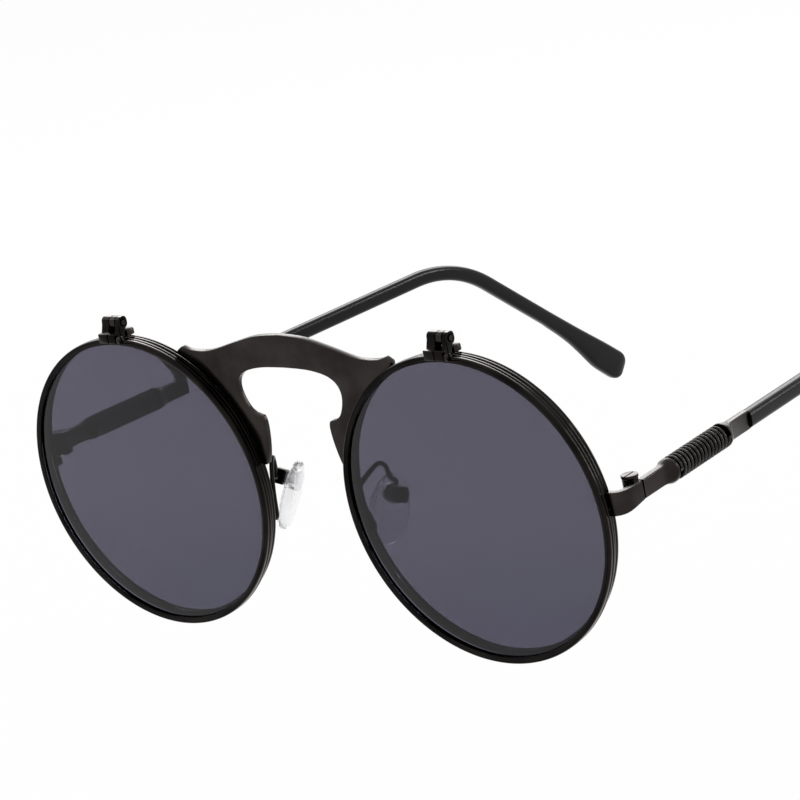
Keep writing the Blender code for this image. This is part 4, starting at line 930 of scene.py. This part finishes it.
def tang_path(extra=0.0):
    """The part of the tip's centre line that the tang fills."""
    path = tip_path()
    lengths = path_lengths(path)
    short = TANG_SHORT_OF_END - extra
    kept = [point for point, length in zip(path, lengths) if length < lengths[-1] - short]
    kept.append(path[-1] - (path[-1] - path[-2]).normalized() * short)
    return [point + BAR_OFFSET * OUT for point in kept]


def mix(table, share):
    """Reads a table of (share, value) pairs, in straight runs."""
    for (low, first), (high, second) in zip(table, table[1:]):
        if share <= high:
            return first + (second - first) * (share - low) / (high - low)
    return table[-1][1]


# Growth of the tip from its start to its paddle, by share of the way along it
PADDLE_SHARES = (
    (0, 0), (0.72, 0), (0.8, 0.04), (0.86, 0.22), (0.905, 0.6), (0.94, 0.93), (1, 1),
)
PADDLE_STEPS = 8


def build_tip():
    """The plastic temple tip: a swept bar that widens to a rounded paddle, bored for the tang."""
    path = tip_path()
    lengths = path_lengths(path)
    whole = lengths[-1]
    last = path[-1]
    down = (path[-1] - path[-2]).normalized()
    rounding = TIP_PADDLE_HEIGHT / 2
    round_steps = 14
    round_angle = math.radians(85)
    drop_share = 0.38
    end_share = 0.35
    corner_share = 0.36
    stations = [
        (point, length / whole, 1.0)
        for point, length in zip(path, lengths) if length < whole - rounding
    ]
    for step in range(round_steps):
        angle = round_angle * step / (round_steps - 1)
        point = last + down * rounding * (math.sin(angle) ** TIP_END_POWER - 1)
        share = 1.0 - (last - point).length / whole
        stations.append((point, share, math.cos(angle) ** TIP_END_POWER))
    growths = [(point.x, point.y) for point in scaled_path(PADDLE_SHARES, 1, 1, PADDLE_STEPS)]
    sections = []
    for index, (point, share, shrink) in enumerate(stations):
        before, after = neighbours(stations, index)
        up = OUT.cross((after[0] - before[0]).normalized())
        grow = mix(growths, share)
        growth = grow * (TIP_PADDLE_HEIGHT - TIP_START_HEIGHT)
        height = (TIP_START_HEIGHT + growth) * shrink
        thickness = TIP_START_THICKNESS + grow * (TIP_PADDLE_THICKNESS - TIP_START_THICKNESS)
        thickness = thickness * (end_share + (1 - end_share) * shrink)
        edge = min(height, thickness) * corner_share
        centre = point + BAR_OFFSET * OUT - growth * drop_share * up
        sections.append(bar_section(centre, OUT, up, thickness, height, edge))
    bore = tang_path(BORE_GAP)
    bore.insert(0, bore[0] - OVERRUN * BACK)
    return cut(lofted(sections), tube(bore, TANG_RADIUS + BORE_GAP, BORE_SIDES))


# The swelling of a flat bar towards the spring: shares of its length and of its growth
TAPER_SHARES = ((1, 0), (0.72, 0.16), (0.42, 0.62), (0.22, 0.92), (0, 1))


def build_flat_bar(end, spring_end, way):
    """A flat bar of the temple from its plain end to the end that swells to the spring."""
    offset = BAR_OFFSET * OUT
    edge_share = 0.499
    wide = SPRING_RADIUS + SPRING_RADIUS + SPRING_WIRE
    flat = (BAR_THICKNESS, BAR_HEIGHT, BAR_EDGE)
    full = (wide, wide, wide * edge_share)
    sections = [bar_section(offset + end * BACK, OUT, UP, *flat)]
    for back, grow, _ in scaled_path(TAPER_SHARES, 1, 1, SHORT_PATH_STEPS):
        place = offset + (spring_end + way * back * TAPER_LENGTH) * BACK
        sizes = [low + grow * (high - low) for low, high in zip(flat, full)]
        sections.append(bar_section(place, OUT, UP, *sizes))
    return lofted(sections)


def build_temple_bar():
    """The metal temple: hinge knuckle, flat bar, spring rod, flat bar and tang, in one piece."""
    offset = BAR_OFFSET * OUT
    bar = build_flat_bar(SEAT_GAP / 2, SPRING_START, -1)
    rear_bar = build_flat_bar(TIP_START - BAR_SEAM, REAR_BAR_START - SPRING_REACH, 1)
    core = rod(
        offset + (SPRING_START - CORE_OVERLAP / 2) * BACK,
        offset + (REAR_BAR_START + CORE_OVERLAP / 2) * BACK, ROD_RADIUS,
    )
    tang_start = offset + (REAR_BAR_START + REAR_BAR_LENGTH - CORE_OVERLAP) * BACK
    tang = tube([tang_start] + tang_path(), TANG_RADIUS)
    half = HINGE_KNUCKLE_HEIGHT / 2
    knuckle = prism(hinge_outline(1), -half, half, "Z")
    lower, upper = hinge_levels()
    rooms = [
        upright(low, high, HINGE_KNUCKLE_RADIUS + FIT_GAP, KNUCKLE_SEGMENTS)
        for low, high in ((lower[0] - OVERRUN, -half), (half, upper[1] + OVERRUN))
    ]
    joined(cut(bar, *rooms), rear_bar, core, tang, knuckle)
    return cut(bar, upright(-half - OVERRUN, half + OVERRUN, HINGE_SCREW_RADIUS + FIT_GAP))


def build_spring():
    """One unbroken helix; each end turns off and runs straight, square to its bar."""
    points = [(0, 0), (SPRING_WIRE, 0)]
    for step in range(1, SPRING_CURLS * SPRING_POINTS):
        turns = step / SPRING_POINTS
        points.append((SPRING_WIRE + SPRING_PITCH * turns, math.tau * turns))
    points += [(SPRING_LENGTH - SPRING_WIRE, 0), (SPRING_LENGTH, 0)]
    curve = bpy.data.curves.new("made", "CURVE")
    curve.dimensions = "3D"
    curve.bevel_depth = SPRING_WIRE / 2
    curve.bevel_resolution = 5
    curve.use_fill_caps = True
    spline = curve.splines.new("POLY")
    spline.points.add(len(points) - 1)
    for target, (rise, angle) in zip(spline.points, points):
        x = BAR_OFFSET + SPRING_RADIUS * math.cos(angle)
        y = SPRING_START + SEAT_GAP + rise
        target.co = (x, y, SPRING_RADIUS * math.sin(angle), 1)
    made = linked("made", curve)
    mesh = evaluated(made)
    bpy.data.objects.remove(made)
    bm = bmesh.new()
    bm.from_mesh(mesh)
    bpy.data.meshes.remove(mesh)
    merge_share = 0.01
    bmesh.ops.remove_doubles(bm, verts=bm.verts, dist=SPRING_WIRE * merge_share)
    return mesh_object(bm)


# Nose pads: local x is outwards from the nose, y back along the width, z up the length

def pad_block(low, high, width, height, room=0):
    """A block between two places on the pad's x, at the level of its box."""
    half = width / 2 + room
    tall = height / 2 + room
    return box((low, -half, PAD_BOX_RISE - tall), (high, half, PAD_BOX_RISE + tall))


def pad_screw_hole():
    start = Vector((PAD_BOX_MIDDLE, -PAD_BOX_WIDTH, PAD_BOX_RISE))
    end = start + 2 * PAD_BOX_WIDTH * BACK
    return rod(start, end, PAD_SCREW_RADIUS + FIT_GAP / 2, SMALL_SEGMENTS)


def build_pad():
    """A soft nose pad: an oval cushion, flatter on its outer side, with a pocket for its insert."""
    around = 48
    levels = 28
    bulge_power = 0.8
    outer_share = 0.84
    foot_power = 0.88
    bm = bmesh.new()
    rings = []
    for level in range(levels + 1):
        angle = math.pi * (level / levels - 0.5)
        z = math.sin(angle) * PAD_LENGTH / 2
        if level in (0, levels):
            rings.append([bm.verts.new((0, 0, z))] * around)
            continue
        wide = math.cos(angle) ** (foot_power if z < 0 else 1)
        ring = []
        for step in range(around):
            angle = math.tau * step / around
            x = math.cos(angle)
            bulge = abs(x) ** bulge_power * math.copysign(1, x) * (outer_share if x > 0 else 1)
            thick = PAD_THICKNESS / 2 * math.sqrt(wide) * bulge
            ring.append(bm.verts.new((thick, PAD_WIDTH / 2 * wide * math.sin(angle), z)))
        rings.append(ring)
    skinned(bm, zip(rings, rings[1:]))
    deep = PAD_PLATE_THICKNESS + FIT_GAP
    pocket = level_rod(-FIT_GAP, deep, 0, PAD_BOX_RISE, PAD_PLATE_RADIUS + FIT_GAP)
    neck = pad_block(0, PAD_THICKNESS + OVERRUN, PAD_TAB_THICKNESS, PAD_TAB_HEIGHT, FIT_GAP)
    return cut(mesh_object(bm), pocket, neck)


def build_insert():
    """The pad's metal insert: a round plate in the silicone and a drilled tab for the box."""
    plate = level_rod(0, PAD_PLATE_THICKNESS, 0, PAD_BOX_RISE, PAD_PLATE_RADIUS)
    tab_end = PAD_BOX_X + PAD_BOX_DEPTH - SLOT_WIDTH - FIT_GAP
    tab = pad_block(PAD_PLATE_THICKNESS / 2, tab_end, PAD_TAB_THICKNESS, PAD_TAB_HEIGHT)
    return cut(joined(plate, tab), pad_screw_hole())


def build_pad_box():
    """The small box on the pad arm that takes the insert's tab."""
    end = PAD_BOX_X + PAD_BOX_DEPTH
    shell = rounded(pad_block(PAD_BOX_X, end, PAD_BOX_WIDTH, PAD_BOX_HEIGHT), BAR_EDGE)
    slot = pad_block(
        PAD_BOX_X - OVERRUN, end - SLOT_WIDTH, PAD_TAB_THICKNESS, PAD_TAB_HEIGHT, FIT_GAP
    )
    return cut(shell, slot, pad_screw_hole())


def build_pad_screw():
    return build_screw(
        PAD_SCREW_HEAD, PAD_SCREW_HEAD_HEIGHT, PAD_SCREW_RADIUS, PAD_BOX_WIDTH, (180, "Z"),
        (PAD_BOX_MIDDLE, PAD_BOX_WIDTH / 2 + FIT_GAP, PAD_BOX_RISE), SMALL_SEGMENTS,
    )


# Each arm's way after its foot, as shares of the arm's size: back and up from the rim,
# over the loop and down towards the pad box. The two arms are bent differently.
ARM_SHARES = {
    1: (
        (0, 0, 0), (-0.03, 0.07, 0.06), (-0.16, 0.09, 0.32), (-0.23, 0.08, 0.59),
        (-0.13, 0.13, 0.78), (0.01, 0.24, 0.97), (0.09, 0.34, 1.03), (0.13, 0.43, 0.94),
        (0.13, 0.475, 0.73),
    ),
    -1: (
        (0, 0, 0), (0.01, 0.06, 0.06), (0.01, 0.09, 0.34), (-0.01, 0.12, 0.66),
        (0, 0.2, 0.93), (0.05, 0.31, 0.98), (0.12, 0.38, 0.78),
    ),
}
# Where each arm meets its box: shares of the box's half width and half height,
# and the way in which it leaves the box
ARM_END_SHARES = {1: (-0.65, 1), -1: (-1, 0)}
ARM_END_WAYS = {1: UP, -1: -BACK}


def pad_matrix(sign, mirror=1):
    """A pad's place; the left one is made on the right side, and a mirror of -1 puts it left."""
    x, y, z = PAD_CENTRES[sign]
    around_x, around_y, around_z = map(math.radians, PAD_TURNS[sign])
    turn = Euler((around_x, mirror * around_y, mirror * around_z), "XYZ")
    return Matrix.Translation((mirror * x, y, z)) @ turn.to_matrix().to_4x4()


def build_arm(sign):
    """The swan neck: back from the rim, up, over a loop and down to the box."""
    radius = REAR_RIM_RADIUS - ARM_RADIUS
    foot_x = RIM_X - math.sqrt(radius ** 2 - ARM_FOOT_Z ** 2)
    foot = Vector((foot_x, REAR_RIM_BACK + SEAT_GAP, ARM_FOOT_Z))
    points = [foot + ARM_SIZE * Vector(share) for share in ARM_SHARES[sign]]
    wide, tall = ARM_END_SHARES[sign]
    face = Vector((
        PAD_BOX_MIDDLE, wide * PAD_BOX_WIDTH / 2, PAD_BOX_RISE + tall * PAD_BOX_HEIGHT / 2
    ))
    for off in (FIT_GAP + ARM_RADIUS + ARM_RADIUS, FIT_GAP):
        points.append(pad_matrix(sign) @ (face + off * ARM_END_WAYS[sign]))
    return tube(smooth_path(points, PATH_STEPS), ARM_RADIUS)


# The whole object

# The last colours and angles of the black metal, the gunmetal and the spring wire are a painted
# sheen: lighter where the surface is seen at a flat angle
METAL = surface_material(
    "gloss black metal", (0.006, 0.0054, 0.0052), (0.014, 0.0125, 0.0115), (0.07, 0.15),
    140, 2600, 0.04, edge=((0.075, 0.066, 0.06), (0.16, 0.145, 0.13), (0.42, 0.78)),
)
GUNMETAL = surface_material(
    "dark gunmetal", (0.019, 0.0163, 0.0153), (0.034, 0.029, 0.0268), (0.2, 0.3),
    160.0, 4200.0, 0.08, (1, 1, 5), ((0.06, 0.053, 0.047), (0.11, 0.1, 0.09), (0.45, 0.85)),
)
SPRING_METAL = surface_material(
    "spring wire", (0.02, 0.018, 0.017), (0.042, 0.039, 0.037), (0.12, 0.22),
    500.0, 6000.0, 0.04, edge=((0.05, 0.046, 0.042), (0.1, 0.094, 0.088), (0.45, 0.85)),
)
STEEL = surface_material(
    "turned steel", (0.1, 0.096, 0.092), (0.2, 0.195, 0.19), (0.2, 0.38),
    700.0, 6000.0, 0.2,
)
INSERT_METAL = surface_material(
    "bright insert plate", (0.5, 0.5, 0.51), (0.66, 0.66, 0.67), (0.25, 0.4),
    900.0, 7000.0, 0.1,
)
DARK_LENS = lens_material("tinted lens", (0.066, 0.063, 0.097), (0.086, 0.082, 0.115), 1.3)
CLEAR_LENS = lens_material("clear lens", (0.965, 0.965, 0.975), (0.98, 0.98, 0.985), 1.18)
SILICONE = silicone_material("clear silicone")
PLASTIC = surface_material(
    "gloss black plastic", (0.002, 0.002, 0.002), (0.004, 0.004, 0.004), (0.15, 0.23),
    120.0, 900.0, 0.05, metallic=0.0,
)


def stance_matrix():
    """The place of the glasses' own frame, from the flip and temple joints of the record."""
    joints = {joint["name"]: Vector(joint["pos_m"]) for joint in frame["joints"]}
    hinge = joints["temple_right"]
    away = joints["flip_right"] - hinge
    here = math.atan2(FLIP_PIN_Z - HINGE_Z, FLIP_PIN_Y - HINGE_Y)
    turn = Matrix.Rotation(math.atan2(away.z, away.y) - here, 4, "X")
    return Matrix.Translation(hinge - turn @ Vector((HINGE_X, HINGE_Y, HINGE_Z))) @ turn


STANCE = stance_matrix()


def shown(made, node, surface, place, body, slot):
    """Places a finished piece, which stands for its CAD node and rides its body."""
    made.name = "fine_" + node
    made.data.name = made.name
    made.data.materials.append(surface)
    made.data.transform(place)
    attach(made, body)
    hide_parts(node)


def build_side(side, sign):
    """All pieces of one side. Twins are built for the right side and mirrored for the left."""
    rim = STANCE @ Matrix.Translation((sign * RIM_X, 0, 0))
    slope = Matrix.Rotation(-TEMPLE_SLOPE, 4, "X")
    hinge = STANCE @ Matrix.Translation((sign * HINGE_X, HINGE_Y, HINGE_Z)) @ slope
    temple = hinge @ Matrix.Rotation(sign * TEMPLE_TOE_IN, 4, "Z")
    pad = STANCE @ pad_matrix(sign, sign)
    flip = "flip_up_" + side
    arm = "arm_" + side
    alike = (
        (build_dark_lens, "dark_lens_", DARK_LENS, rim, flip, "dark_lens"),
        (build_clear_lens, "clear_lens_", CLEAR_LENS, rim, "frame", "clear_lens"),
        (build_front_rim, "front_rim_", METAL, rim, flip, "black_metal"),
        (build_closing_screw, "closing_screw_", GUNMETAL, rim, flip, "black_metal"),
        (build_flip_bracket, "flip_bracket_", GUNMETAL, rim, "frame", "gunmetal"),
        (build_flip_pin, "flip_pin_", GUNMETAL, rim, "frame", "steel"),
    )
    twins = (
        (build_rear_rim, "rear_rim_", METAL, rim, "frame", "black_metal"),
        (build_lock_screw, "rim_lock_screw_", STEEL, rim, "frame", "steel"),
        (build_end_piece, "end_piece_", GUNMETAL, STANCE, "frame", "gunmetal"),
        (build_hinge_screw, "hinge_screw_", GUNMETAL, hinge, "frame", "gunmetal"),
        (build_temple_bar, "temple_bar_", GUNMETAL, temple, arm, "gunmetal"),
        (build_spring, "temple_spring_", SPRING_METAL, temple, arm, "gunmetal"),
        (build_tip, "temple_tip_", PLASTIC, temple, arm, "black_plastic"),
        (lambda: build_arm(sign), "pad_arm_", METAL, STANCE, "frame", "black_metal"),
        (build_pad_box, "pad_box_", METAL, pad, "frame", "black_metal"),
        (build_insert, "pad_insert_", INSERT_METAL, pad, "frame", "steel"),
        (build_pad_screw, "pad_screw_", STEEL, pad, "frame", "steel"),
        (build_pad, "nose_pad_", SILICONE, pad, "frame", "silicone"),
    )
    for build, node, *finish in alike:
        shown(build(), node + side, *finish)
    for build, node, *finish in twins:
        made = build()
        if side == "left":
            made.data.transform(Matrix.Scale(-1, 4, OUT))
            made.data.flip_normals()
        shown(made, node + side, *finish)


shown(build_bridge(), "bridge_plate", GUNMETAL, STANCE, "frame", "gunmetal")
build_side("right", 1)
build_side("left", -1)


# Camera

CAMERA_AZIMUTH = math.radians(42.79)
CAMERA_ELEVATION = math.radians(17.98)
CAMERA_ROLL = math.radians(-12.33)
CAMERA_DISTANCE = 0.53377
CAMERA_TARGET = (0.02553, 0, 0.0181)
CAMERA_LENS = 153.085
CAMERA_NEAR = 0.01


def build_camera():
    """The camera of the photograph, found from the rims' ellipses, in the glasses' own frame."""
    data = bpy.data.cameras.new("camera")
    data.lens = CAMERA_LENS
    data.clip_start = CAMERA_NEAR
    made = linked("camera", data)
    made.matrix_world = (
        STANCE @ Matrix.Translation(CAMERA_TARGET)
        @ Matrix.Rotation(CAMERA_AZIMUTH, 4, "Z")
        @ Matrix.Rotation(math.radians(90) - CAMERA_ELEVATION, 4, "X")
        @ Matrix.Rotation(CAMERA_ROLL, 4, "Z")
        @ Matrix.Translation((0, 0, CAMERA_DISTANCE))
    )
    bpy.context.scene.camera = made


# Light and floor

FLOOR_SIZE = 6.0
# The sweep lies below the glasses, so that the folded tips stay clear of it
FLOOR_DROP = 0.04
FLOOR_WHITE_SHARE = 0.975
FLOOR_COLOUR = (0.8, 0.8, 0.8, 1.0)
FLOOR_ROUGHNESS = 0.9
ROOM_COLOUR = (0.95, 0.97, 1.0, 1.0)
ROOM_STRENGTH = 0.45
WHITE = (1, 1, 1, 1)
# Each lamp's name, place, the height that it is aimed at, its size and its power
LAMPS = (
    ("top", (0.0, -0.42, 0.68), 0.01, (0.7, 0.1), 0.9),
    ("upper left", (-0.72, -0.25, 0.6), 0.01, (0.6, 0.1), 1.1),
    ("back left", (-0.42, 0.7, 0.48), 0.02, (0.8, 0.35), 3.0),
    ("back right", (0.62, 0.7, 0.34), 0.02, (0.06, 0.5), 2.0),
)


def area_light(name, place, height, size, power):
    data = bpy.data.lights.new(name, "AREA")
    data.shape = "RECTANGLE"
    data.size, data.size_y = size
    data.energy = power
    made = linked(name, data)
    made.location = place
    aim = Vector((0, 0, height)) - Vector(place)
    made.rotation_euler = aim.to_track_quat("-Z", "Y").to_euler()


def seen(tree):
    """One where the camera sees a surface directly, mirrored or through glass."""
    rays = tree.nodes.new("ShaderNodeLightPath")
    whole = rays.outputs["Is Camera Ray"]
    for other in ("Is Glossy Ray", "Is Transmission Ray"):
        most = tree.nodes.new("ShaderNodeMath")
        most.operation = "MAXIMUM"
        whole = fill(tree, most, {0: whole, 1: rays.outputs[other]}).outputs[0]
    return whole


def swapped(tree, share, plain, white, output):
    """Shows a white shader in place of the plain one by a share."""
    inputs = {0: share, 1: plain.outputs[0], 2: white.outputs[0]}
    choice = added(tree, "ShaderNodeMixShader", inputs)
    fill(tree, tree.nodes[output], {"Surface": choice.outputs[0]})


def build_stage():
    """A white floor that keeps a trace of the shadow, in a pale room that looks white."""
    bpy.ops.mesh.primitive_plane_add(size=FLOOR_SIZE, location=(0, 0, -FLOOR_DROP))
    floor = bpy.context.object
    floor.name = "floor"
    made, tree, shader = graph("floor")
    fill(tree, shader, {"Base Color": FLOOR_COLOUR, "Roughness": FLOOR_ROUGHNESS})
    share = tree.nodes.new("ShaderNodeMath")
    share.operation = "MULTIPLY"
    fill(tree, share, {0: seen(tree), 1: FLOOR_WHITE_SHARE})
    white = added(tree, "ShaderNodeEmission", {"Color": WHITE})
    swapped(tree, share.outputs[0], shader, white, "Material Output")
    floor.data.materials.append(made)
    world = bpy.data.worlds.new("studio")
    world.use_nodes = True
    bpy.context.scene.world = world
    tree = world.node_tree
    room = fill(tree, tree.nodes["Background"], {"Color": ROOM_COLOUR, "Strength": ROOM_STRENGTH})
    white = added(tree, "ShaderNodeBackground", {"Color": WHITE})
    swapped(tree, seen(tree), room, white, "World Output")


build_camera()
build_stage()
for lamp in LAMPS:
    area_light(*lamp)
bpy.context.scene.view_settings.view_transform = "Standard"
